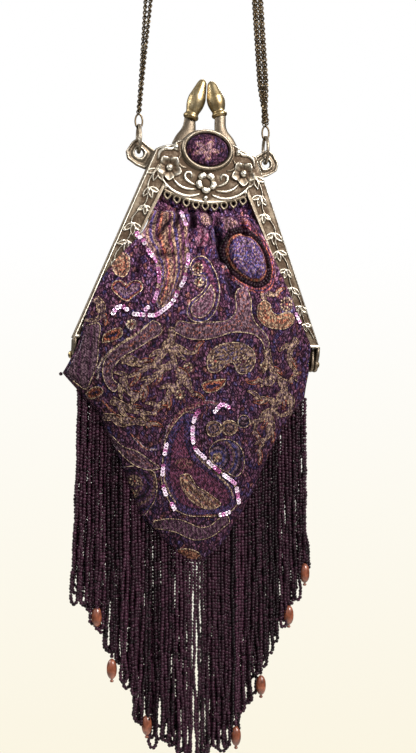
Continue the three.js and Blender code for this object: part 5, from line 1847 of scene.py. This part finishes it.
@dataclass
class ClothBag:
    """Brocade body of the bag and the cloth button in the bezel."""

    shop: Workshop
    form: ClothForm = field(default_factory=ClothForm)
    levels: int = 365
    inner_levels: int = 24
    front_steps: int = 205
    back_steps: int = 28
    wall: float = 0.9
    thread_step: float = 1.15
    thread_radius: float = 0.3
    thread_lift: float = 0.3
    button_half: Pair = (12.75, 9.45)

    def section(self, v: Array, inset: float, lift: Array | float) -> Array:
        """Closed line at each level: over the front, round the right neck, the back and the left fold.

        Args:
            v: the levels, as a column.
            inset: how far inside the outer skin to run.
            lift: how far the woven figures raise the front.
        Returns:
            Points by level, place and axis.
        """
        col = {name: self.form.column(name, v) for name in self.form.columns[1:]}
        u = self.front_u(v, inset)
        front = hung(u, -np.maximum(self.form.front(u, v, inset == 0) + lift - inset, 0.05), v)
        t = np.linspace(0, 1, 5)[None, 1:]
        bend = col["right"] - inset + (col["neck_right"] - col["right"]) * t**0.6
        right = hung(bend, -np.maximum(col["edge_right"] - inset, 0.05) * (1 - t) ** 1.4, v)
        b = np.sin(np.pi / 2 * np.linspace(1, -1, self.back_steps))[None, 1:]
        half = np.maximum((col["neck_right"] - col["neck_left"]) / 2 - inset, 0.1)
        back_u = (col["neck_left"] + col["neck_right"]) / 2 + b * half
        back = hung(back_u, np.maximum(self.form.back(b, v) - inset, 0.0), v)
        q = np.linspace(0, 1, 8)[None, 1:-1]
        fold = col["neck_left"] + inset + (col["left"] - col["neck_left"]) * np.clip(q * 1.7 - 0.7, 0, 1)
        left = hung(fold, -np.maximum(col["edge_left"] - 0.45 - inset, 0.04) * np.clip(q * 2.2, 0, 1), v)
        return np.concatenate([front, right, back, left], axis=1)

    def front_u(self, v: Array, inset: float) -> Array:
        """Places across the front at each level, a little closer together near the edges.

        Args:
            v: the levels, as a column.
            inset: how far inside the outer skin to run.
        Returns:
            A row of places per level.
        """
        t = np.linspace(-1, 1, self.front_steps)[None]
        s = 0.65 * t + 0.35 * np.sin(np.pi / 2 * t)
        left, right = self.form.column("left", v) + inset, self.form.column("right", v) - inset
        return (left + right) / 2 + s * np.maximum(right - left, 0.2) / 2

    def threads(self, outlines: list[tuple[Array, Dye, bool]]) -> Surface:
        """Threads couched round the figures: thin rolls, left out where a later figure lies over them.

        Args:
            outlines: closed outlines with their yarns and whether they merge, the lower figures first.
        Returns:
            All the rolls.
        """
        rolls = []
        for k, (curve, dye, merged) in enumerate(outlines):
            loop = np.concatenate([curve, curve[:1]])
            line = spline(loop, int(reach_along(loop)[-1] / self.thread_step) + 4)
            shown = (np.abs(self.form.across(*line.T)) < 0.97) & (line[:, 1] > -241)
            shown &= self.form.oval_share(*line.T) > 1.46
            for j, (other, _, also) in enumerate(outlines):
                if j > k or (merged and also and j < k):
                    shown &= ~within(line, other)
            path = self.form.on_front(*line.T, self.thread_lift)
            for run in np.split(np.arange(len(line)), np.flatnonzero(np.diff(shown)) + 1):
                if shown[run[0]] and len(run) > 2:
                    roll = swept(path[run], self.thread_radius, self.thread_radius, Y_AXIS, 3, tone=0.0)
                    roll.colour[:] = dye.shade()
                    rolls.append(roll)
        return join(rolls)

    def body(self) -> tuple[Surface, Surface]:
        """Double skin of the bag: up the outside with the weave, over the rim and down the inside.

        Returns:
            The skin and the threads couched on it.
        """
        top, low = self.form.rows[0][0], self.form.rows[-1][0]
        v = np.linspace(low, top, self.levels)[:, None]
        u = self.front_u(v, 0.0)
        weave = Weave(u.ravel(), np.broadcast_to(v, u.shape).ravel(), self.form).build()
        outer = self.section(v, 0.0, weave.lift.reshape(u.shape))
        inner = self.section(np.linspace(top, low + 1.5, self.inner_levels)[:, None], self.wall, 0.0)
        surface = tube(np.concatenate([outer, inner]), 1.0)
        start = np.arange(self.levels)[:, None] * outer.shape[1]
        number = (start + np.arange(self.front_steps)).ravel()
        surface.tone[number], surface.colour[number] = weave.ground, weave.colour
        return surface, self.threads(weave.outlines)

    def cabochon(self) -> Surface:
        """Padded oval button: a dome, its height a rounded power of the distance from the middle.

        Returns:
            The closed button.
        """
        r, turn = np.linspace(0.02, 1, 34)[:, None], once_round(110)
        rise = 3.0 * (1 - r**3.2) ** 0.6 + 0.12 * np.sin(5 * turn) * r**4
        wide, tall = self.button_half
        u, v = r * np.cos(turn), r * np.sin(turn)
        face = hung(wide * u, -6.95 - rise, tall * v)
        surface = tube(np.concatenate([face, hung(wide * u[-1:], -6.85, tall * v[-1:])]), 1.0)
        u, v = u.ravel() + 0.1, v.ravel() + 0.05
        far = np.hypot(u, v)
        petal = 0.42 + 0.2 * np.cos(5 * np.arctan2(v, u) + 0.6)
        dots = (np.random.default_rng(3).random(len(u)) < 0.14) & (far < petal)
        rings = ((far < 2, 0.3, DARK), (far < petal + 0.12, 0.3, PLUM), (far < petal + 0.05, 0.3, UMBER),
                 (far < petal - 0.1, 0.3, ASH), (dots, 0.0, KHAKI))
        for inside, tone, dye in rings:
            number = np.flatnonzero(inside)
            surface.tone[number], surface.colour[number] = tone, dye.shade()
        return surface

    def build(self) -> tuple[bpy.types.Object, bpy.types.Object]:
        """Makes the bag, its couched threads and the button.

        Returns:
            The bag's object and the threads'.
        """
        surface, threads = self.body()
        bag = self.shop.piece("brocade_bag", surface, PAISLEY, "brocade", ("cloth_bag",))
        couched = self.shop.piece("couched_threads", threads, PAISLEY, "brocade")
        button = self.shop.piece("bezel_button", self.cabochon(), PAISLEY, "brocade", ("cabochon",))
        return bag, couched


# Sequins and beads


@dataclass
class Sequins:
    """Rows of small cup sequins sewn over the paisley."""

    shop: Workshop
    form: ClothForm
    pitch: float = 1.7
    scale: float = 0.86
    lift: float = 0.95
    shades: tuple = ("#f6e4f6", "#dda6d4", "#c074ac", "#8c3c74")
    # radius and height of the stamped film, out along its face and back along its underside
    film: tuple = ((0.44, -0.30), (0.68, -0.30), (1.12, -0.06), (1.55, 0.2), (1.55, 0.12), (1.1, -0.16),
                   (0.68, -0.4), (0.44, -0.4))
    # share of missing sequins, which are left out in runs, share of pale ones, route
    rows: tuple = (
        (0.28, 0.3, ((-41.0, -52.7), (-36.0, -59.6), (-33.7, -64.2), (-30.9, -68.2), (-28.6, -72.7),
                     (-27.9, -77.4), (-28.2, -84.7), (-31.1, -92.6), (-35.2, -97.0))),
        (0.3, 0.4, ((-14.5, -39.5), (-12.6, -46.1), (-11.1, -55.4), (-11.1, -65.9), (-11.8, -73.2),
                    (-12.4, -78.6), (-15.9, -85.0), (-18.8, -91.0))),
        (0.0, 0.7, ((-19.4, -92.0), (-24.6, -96.4), (-29.3, -99.8), (-35.6, -100.1), (-41.9, -99.9))),
        (0.0, 0.7, ((-53.8, -100.0), (-51.9, -96.8), (-48.3, -96.0), (-46.2, -97.4))),
        (0.0, 0.3, ((57.0, -95.2), (59.4, -99.4))),
        (0.14, 0.62, ((-1.1, -154.5), (-3.1, -158.2), (-4.1, -164.6), (-3.8, -170.7), (-1.4, -177.2),
                      (3.1, -181.2), (9.0, -186.6), (15.2, -191.3), (20.8, -195.0), (23.6, -197.1),
                      (25.5, -202.4), (26.9, -208.7))),
        (0.0, 0.2, ((8.7, -154.7), (13.4, -150.4), (17.3, -151.9))),
        (0.4, 0.7, ((-18.8, -173.3), (-19.6, -177.5), (-20.4, -183.3), (-20.6, -188.2), (-20.4, -196.5),
                    (-16.9, -205.9), (-14.6, -209.1), (-12.3, -212.8))),
        (0.0, 0.6, ((15.8, -216.1), (19.1, -215.4), (21.3, -214.5))),
    )

    def cup(self) -> Surface:
        """One sequin: a cup of twelve facets with a hole, its closed section waved six times round.

        Returns:
            The cup about its own origin.
        """
        radius, height = np.array(self.film).T
        turn = once_round(12)[:, None]
        r = radius * (1 + 0.04 * np.cos(6 * turn))
        return ring_skin(np.stack([r * np.cos(turn), r * np.sin(turn), height + 0 * r], -1))

    def build(self) -> bpy.types.Object:
        """Makes all the sequins as one piece, each lapping the next along its row.

        Returns:
            The sequins' object.
        """
        rng = np.random.default_rng(5)
        shades = np.array([linear(code)[:3] for code in self.shades])
        places, axes, colours = [], [], []
        for missing, pale, row in self.rows:
            line = spline(row, max(2, int(reach_along(np.array(row))[-1] / self.pitch) + 1))
            ahead = unit(np.gradient(line, axis=0))
            normal = self.form.normal(*line.T)
            along = hung_axis(ahead[:, 0], 0, ahead[:, 1])
            along = unit(along - (along * normal).sum(-1, keepdims=True) * normal)
            lean = np.radians(16 + 9 * rng.standard_normal(len(line)))[:, None]
            sway = np.radians(10 * rng.standard_normal(len(line)))[:, None]
            up = unit(normal * np.cos(lean) + along * np.sin(lean) + np.cross(normal, along) * np.sin(sway))
            first = unit(along - (along * up).sum(-1, keepdims=True) * up)
            kept = (np.arange(len(line)) + 2) % 7 >= round(7 * missing)
            steps = pale + (1 - pale) * np.array([0.0, 0.4, 0.75])
            places.append(self.form.on_front(*line.T, self.lift)[kept])
            axes.append(self.scale * np.stack([first, np.cross(up, first), up], axis=1)[kept])
            colours.append(shades[np.searchsorted(steps, rng.random(len(line)))][kept])
        places, axes, colours = map(np.concatenate, (places, axes, colours))
        surface = repeated(self.cup(), places, axes, np.full(len(places), 0.5), colours)
        return self.shop.piece("cup_sequins", surface, SEQUIN_FILM, "brocade")


@dataclass
class BeadWork:
    """Seed-bead rings round the padded oval, the looped fringe and the drop beads."""

    shop: Workshop
    form: ClothForm
    # the beads are drawn a little larger than real ones so that each shows
    bead_pitch: float = 1.9
    bead_profile: tuple = ((-0.93, 0.86), (0.0, 1.26), (0.93, 0.86))
    hem_top: float = -144.6
    hem_low: float = -244.4
    hem_middle: float = 4.05
    strand_length: float = 117.5
    right_end_length: float = 100.0
    loops: int = 16
    splay: float = 3.4
    # for the front, middle and back layer: place within a loop's pitch, and depth
    layer_share: tuple[float, ...] = (0.5, 0.98, 0.24)
    layer_depth: tuple[float, ...] = (-0.4, 1.3, 2.9)
    drops: tuple = (
        ("drop_bead_1", -66.2, -571.7), ("drop_bead_2", -57.2, -602.7), ("drop_bead_3", -36.4, -637.2),
        ("drop_bead_4", 18.4, -648.1), ("drop_bead_5", 34.1, -618.4), ("drop_bead_6", 51.8, -576.8),
        ("drop_bead_7", 62.1, -551.6),
    )
    stop_profile: tuple = ((-7.8, 0.3), (-7.6, 0.9), (-7.0, 1.15), (-6.4, 0.9), (-6.2, 0.4))

    def strung(self, lines: list[Array], seed: int) -> Surface:
        """Beads threaded on lines: one short barrel per pitch, each turned and tipped a little.

        Args:
            lines: points along each thread.
            seed: start of the random tips and tones.
        Returns:
            All the beads.
        """
        rng = np.random.default_rng(seed)
        places, along, tones = [], [], []
        for line in lines:
            at = np.arange(0.4, reach_along(line)[-1], self.bead_pitch)
            spot = read_at(at, line)
            ahead = read_at(at + 0.3, line) - spot
            along.append(np.where(np.linalg.norm(ahead, axis=1, keepdims=True) > 1e-6, ahead, -Z_AXIS))
            places.append(spot + 0.13 * rng.standard_normal(spot.shape))
            shade = 0.32 + 0.18 * rng.standard_normal() + 0.16 * rng.standard_normal(len(at))
            tones.append(np.clip(shade, 0, 1))
        places, along = np.concatenate(places), unit(np.concatenate(along))
        up = unit(along + 0.1 * rng.standard_normal(along.shape))
        first = unit(np.cross(up, unit(rng.standard_normal(along.shape))))
        size = 0.95 + 0.1 * rng.random((len(places), 1, 1))
        axes = np.stack([first, np.cross(up, first), up], axis=1) * size
        bead = turned(self.bead_profile, 6, np.zeros(3), Z_AXIS)
        return repeated(bead, places, axes, np.concatenate(tones))

    def hem_line(self, side: Side) -> Array:
        """Hem from its middle out to one end, in the part's frame.

        Args:
            side: left or right.
        Returns:
            Points along it.
        """
        v = np.linspace(self.hem_low, self.hem_top, 120)
        u = self.form.column(side.name.lower(), v)
        return np.concatenate([hung(self.hem_middle, 0, self.hem_low)[None], hung(u, 0, v)])

    def hem_level(self, side: Side, x: Array) -> Array:
        """Level of the hem over a place.

        Args:
            side: left or right.
            x: the place.
        Returns:
            The level.
        """
        line = self.hem_line(side)
        order = np.argsort(line[:, 0])
        return np.interp(x, line[order, 0], line[order, 2])

    def fringe(self, side: Side, layer: int) -> Surface:
        """One layer of one side: loops of two threads from the hem that meet in a bend at the bottom.

        Args:
            side: left or right.
            layer: 0 in front, 1 and 2 behind.
        Returns:
            The beads.
        """
        line = self.hem_line(side)
        start, end = line[0, 0], line[-1, 0]
        rng = np.random.default_rng(40 + 7 * layer + side.value)
        t = np.linspace(0, 1, 70)
        turn = np.linspace(np.pi, 2 * np.pi, 12)[1:-1]
        pitch = (end - start) / self.loops
        threads = []
        for k in range(1 if layer else 0, self.loops):
            share = min((k + self.layer_share[layer]) / self.loops, 1 - 0.6 / self.loops)
            length = self.strand_length - 3.0 * layer + 3.6 * rng.standard_normal()
            if side is Side.RIGHT and share > 0.93:
                length = self.right_end_length
            bend = float(self.hem_level(side, start + share * (end - start))) - length
            phase = 6.3 * rng.random()
            drift = rng.standard_normal() + side.value * self.splay * share**3
            pair = []
            for place in (-0.25, 0.25):
                x = start + share * (end - start) + place * pitch * (1 + 0.2 * rng.standard_normal())
                wave = 0.5 * np.sin(3.1 * t + phase) + 0.55 * np.sin(9.5 * t + 2 * phase + 3 * place)
                wave = wave + 0.38 * np.sin(26 * t + phase + 5 * place)
                depth = self.layer_depth[layer] + 0.35 * rng.standard_normal()
                top = float(self.hem_level(side, x)) + 1.8
                sway = x + (wave + drift * t) * t**0.5 + place * pitch * 0.9 * t**7
                depth = depth + 0.35 * np.sin(4 * t + phase + place)
                pair.append(np.stack([sway, depth, top + (bend - top) * t], -1))
            first, second = pair
            heart = (first[-1] + second[-1]) / 2
            half = (second[-1, 0] - first[-1, 0]) / 2
            low = heart[2] + 1.5 * abs(half) * np.sin(turn)
            loop = np.stack([heart[0] + half * np.cos(turn), np.full(len(turn), heart[1]), low], -1)
            threads.append(np.concatenate([first, loop, second[::-1]]))
        if layer == 0:
            threads += self.drop_threads(side, start)
        return self.strung(threads, 60 + layer + side.value)

    def drop_threads(self, side: Side, start: float) -> list[Array]:
        """Threads that carry the drop beads of one side.

        Args:
            side: left or right.
            start: where the hem's middle lies.
        Returns:
            Points along each thread.
        """
        t = np.linspace(0, 1, 50)
        threads = []
        for _, x, z in self.drops:
            if side.value * (x - start) > 0:
                top = float(self.hem_level(side, x)) - 0.9
                sway = x + 0.4 * np.sin(5 * t + x) * np.sin(np.pi * t)
                threads.append(np.stack([sway, 0 * t, top + (z + 6.2 - top) * t], -1))
        return threads

    def oval_rings(self) -> Surface:
        """Two rounds of beads in the crease about the padded oval, and one at the corner of the cloth.

        Returns:
            All the beads.
        """
        t = np.linspace(0, 2 * np.pi, 160)
        c, s = math.cos(self.form.oval_turn), math.sin(self.form.oval_turn)
        lines = []
        for share in (1.07, 1.18):
            a = self.form.oval_half[0] * share * np.cos(t)
            b = self.form.oval_half[1] * share * np.sin(t) / (1 + 0.1 * np.cos(t))
            u, v = self.form.oval_at[0] + a * c - b * s, self.form.oval_at[1] + a * s + b * c
            lines.append(self.form.on_front(u, v, 0.7))
        corner = hung(-80.9, np.array([-1.0, 0.6]), -135.6)
        return join([self.strung(lines, 21), self.strung([corner], 22)])

    def hem(self) -> Surface:
        """Rolled edge of the hem: a thin roll along both slopes."""
        return join([swept(self.hem_line(side), 0.7, 0.8, Y_AXIS, 8, tone=1.0) for side in Side])

    def drop_bead(self, x: float, z: float) -> Surface:
        """Oval bead on its thread with a seed bead under it.

        Args:
            x, z: its middle.
        Returns:
            The bead.
        """
        t = np.linspace(-1, 1, 22)
        radius = np.maximum(3.0 * np.sqrt(np.clip(1 - np.abs(t) ** 2.2, 0, 1)), 0.55)
        middle = np.array([x, 0.0, z])
        body = turned(np.stack([6.0 * t, radius], -1), 28, middle, Z_AXIS)
        return join([body, turned(self.stop_profile, 14, middle, Z_AXIS)])

    def build(self) -> list[bpy.types.Object]:
        """Makes the fringe, the rings of beads and the drops.

        Returns:
            The pieces that hang from the cloth.
        """
        made = []
        for side in Side:
            name = side.name.lower()
            for layer, place in enumerate(("front", "middle", "back")):
                stood_for = () if layer else (name + "_fringe",)
                beads = self.fringe(side, layer)
                made.append(self.shop.piece(f"{name}_fringe_{place}", beads, SEED_BEADS, "seed_beads",
                                            stood_for))
        made.append(self.shop.piece("oval_bead_rings", self.oval_rings(), SEED_BEADS, "seed_beads"))
        made.append(self.shop.piece("rolled_hem", self.hem(), PAISLEY, "brocade"))
        for name, x, z in self.drops:
            bead = self.drop_bead(x, z)
            made.append(self.shop.piece(name + "_glazed", bead, CLAY_BEADS, "drop_beads", (name,)))
        return made


# Studio


@dataclass
class Studio:
    """Camera at the photograph's angle, soft lights, a pale floor and a near-white surround."""

    shop: Workshop
    target: Triple = (1.0, 0.0, -431.0)
    azimuth: float = math.radians(-14)
    distance: float = 650.0
    focal_px: float = 1083.33
    sensor: float = 24.0
    floor_z: float = -1300.0
    # radius and drop of the floor's rim, from its middle out and under
    floor_rows: tuple = ((400, 0), (1700, 0), (1705, 8), (1700, 16))
    # name, place in metres, size in metres, power in watts and tint
    lamps: tuple = (
        ("key", (0.54, -0.9, 0.26), 0.5, 31.0, "#fffaf7"),
        ("fill", (-0.9, -0.8, -0.1), 0.8, 2.2, "#f4f6ff"),
        ("rim", (0.35, 0.8, 0.35), 0.6, 12.0, "#ffffff"),
        ("edge", (-0.9, 0.15, 0.1), 0.5, 9.0, "#ffffff"),
    )

    def camera(self) -> None:
        """Level camera to the left of the front."""
        data = bpy.data.cameras.new("camera")
        data.sensor_fit = "VERTICAL"
        data.sensor_height = self.sensor
        data.lens = self.sensor * self.focal_px / PHOTO_HEIGHT
        data.clip_end = 50
        camera = put_in_scene("camera", data)
        x, y, z = self.target
        camera.location = ((x + self.distance * math.sin(self.azimuth)) / 1000,
                           (y - self.distance * math.cos(self.azimuth)) / 1000, z / 1000)
        camera.rotation_euler = (math.pi / 2, 0, self.azimuth)
        bpy.context.scene.camera = camera

    def lamp(self, name: str, place: Triple, size: float, power: float,
             tint: str) -> None:
        """Square soft light aimed at the bag.

        Args:
            name, place: its name and where it stands, in metres.
            size, power, tint: its side in metres, its power in watts and its colour.
        """
        data = bpy.data.lights.new(name, "AREA")
        data.size, data.energy, data.color = size, power, linear(tint)[:3]
        lamp = put_in_scene(name, data)
        aim = np.array([0.0, 0.0, -0.43]) - np.array(place)
        lamp.location = place
        heading = math.atan2(aim[0], -aim[1]) + math.pi
        lamp.rotation_euler = (math.acos(-aim[2] / np.linalg.norm(aim)), 0, heading)

    def surround(self) -> None:
        """Near-white surround that lights a little less from below than from above."""
        world = bpy.data.worlds.new("surround")
        bpy.context.scene.world = world
        world.use_nodes = True
        tree = world.node_tree
        tree.nodes.clear()
        coords = add_node(tree, "TexCoord")
        split = add_node(tree, "SeparateXYZ", {}, {"Vector": coords.outputs["Generated"]})
        up = split.outputs["Z"]
        lift = add_node(tree, "MapRange", {"From Min": -1.0, "From Max": 1.0}, {"Value": up})
        room = [(0.0, "#2c2824"), (0.42, "#4a4640"), (0.6, "#9c978e"), (1.0, "#ffffff")]
        sky = add_node(tree, "ValToRGB", {"stops": room}, {"Fac": lift})
        dim = add_node(tree, "Background", {"Strength": 0.5}, {"Color": sky})
        drop = add_node(tree, "MapRange", {"From Min": -0.34, "From Max": 0.12}, {"Value": up})
        paper = [(0.0, "#fbf5e2"), (0.5, "#fdfaf0"), (1.0, "#ffffff")]
        wall = add_node(tree, "ValToRGB", {"stops": paper}, {"Fac": drop})
        white = add_node(tree, "Background", {"Strength": 1.0}, {"Color": wall})
        seen = add_node(tree, "LightPath").outputs["Is Camera Ray"]
        mix = add_node(tree, "MixShader", {}, {"Fac": seen, 1: dim, 2: white})
        add_node(tree, "OutputWorld", {}, {"Surface": mix})

    def floor(self) -> None:
        """Round pale floor well below the hanging bag."""
        turn = once_round(96)
        rows = [np.stack([r * np.cos(turn), r * np.sin(turn), np.full(96, self.floor_z - drop)], -1)
                for r, drop in self.floor_rows]
        surface = tube(np.stack(rows))
        mesh = bpy.data.meshes.new("floor")
        faces = surface.quads.tolist() + surface.tris.tolist()
        mesh.from_pydata((surface.points * 0.001).tolist(), [], faces)
        mesh.materials.append(self.shop.material(PaleFloor("matt floor paint")))
        put_in_scene("floor", mesh)

    def build(self) -> None:
        """Sets up the studio."""
        bpy.context.scene.view_settings.view_transform = "Standard"
        self.camera()
        self.surround()
        self.floor()
        for row in self.lamps:
            self.lamp(*row)


def main() -> None:
    """Builds the bag in order and reports each piece."""
    logging.basicConfig(level=logging.INFO, format="%(name)s %(message)s")
    shop = Workshop()
    Studio(shop).build()
    CastFrame(shop).build()
    ChainHandle(shop).build()
    cloth = ClothBag(shop)
    bag, couched = cloth.build()
    sequins = Sequins(shop, cloth.form).build()
    hanging = BeadWork(shop, cloth.form).build()


if __name__ == "__main__":
    main()
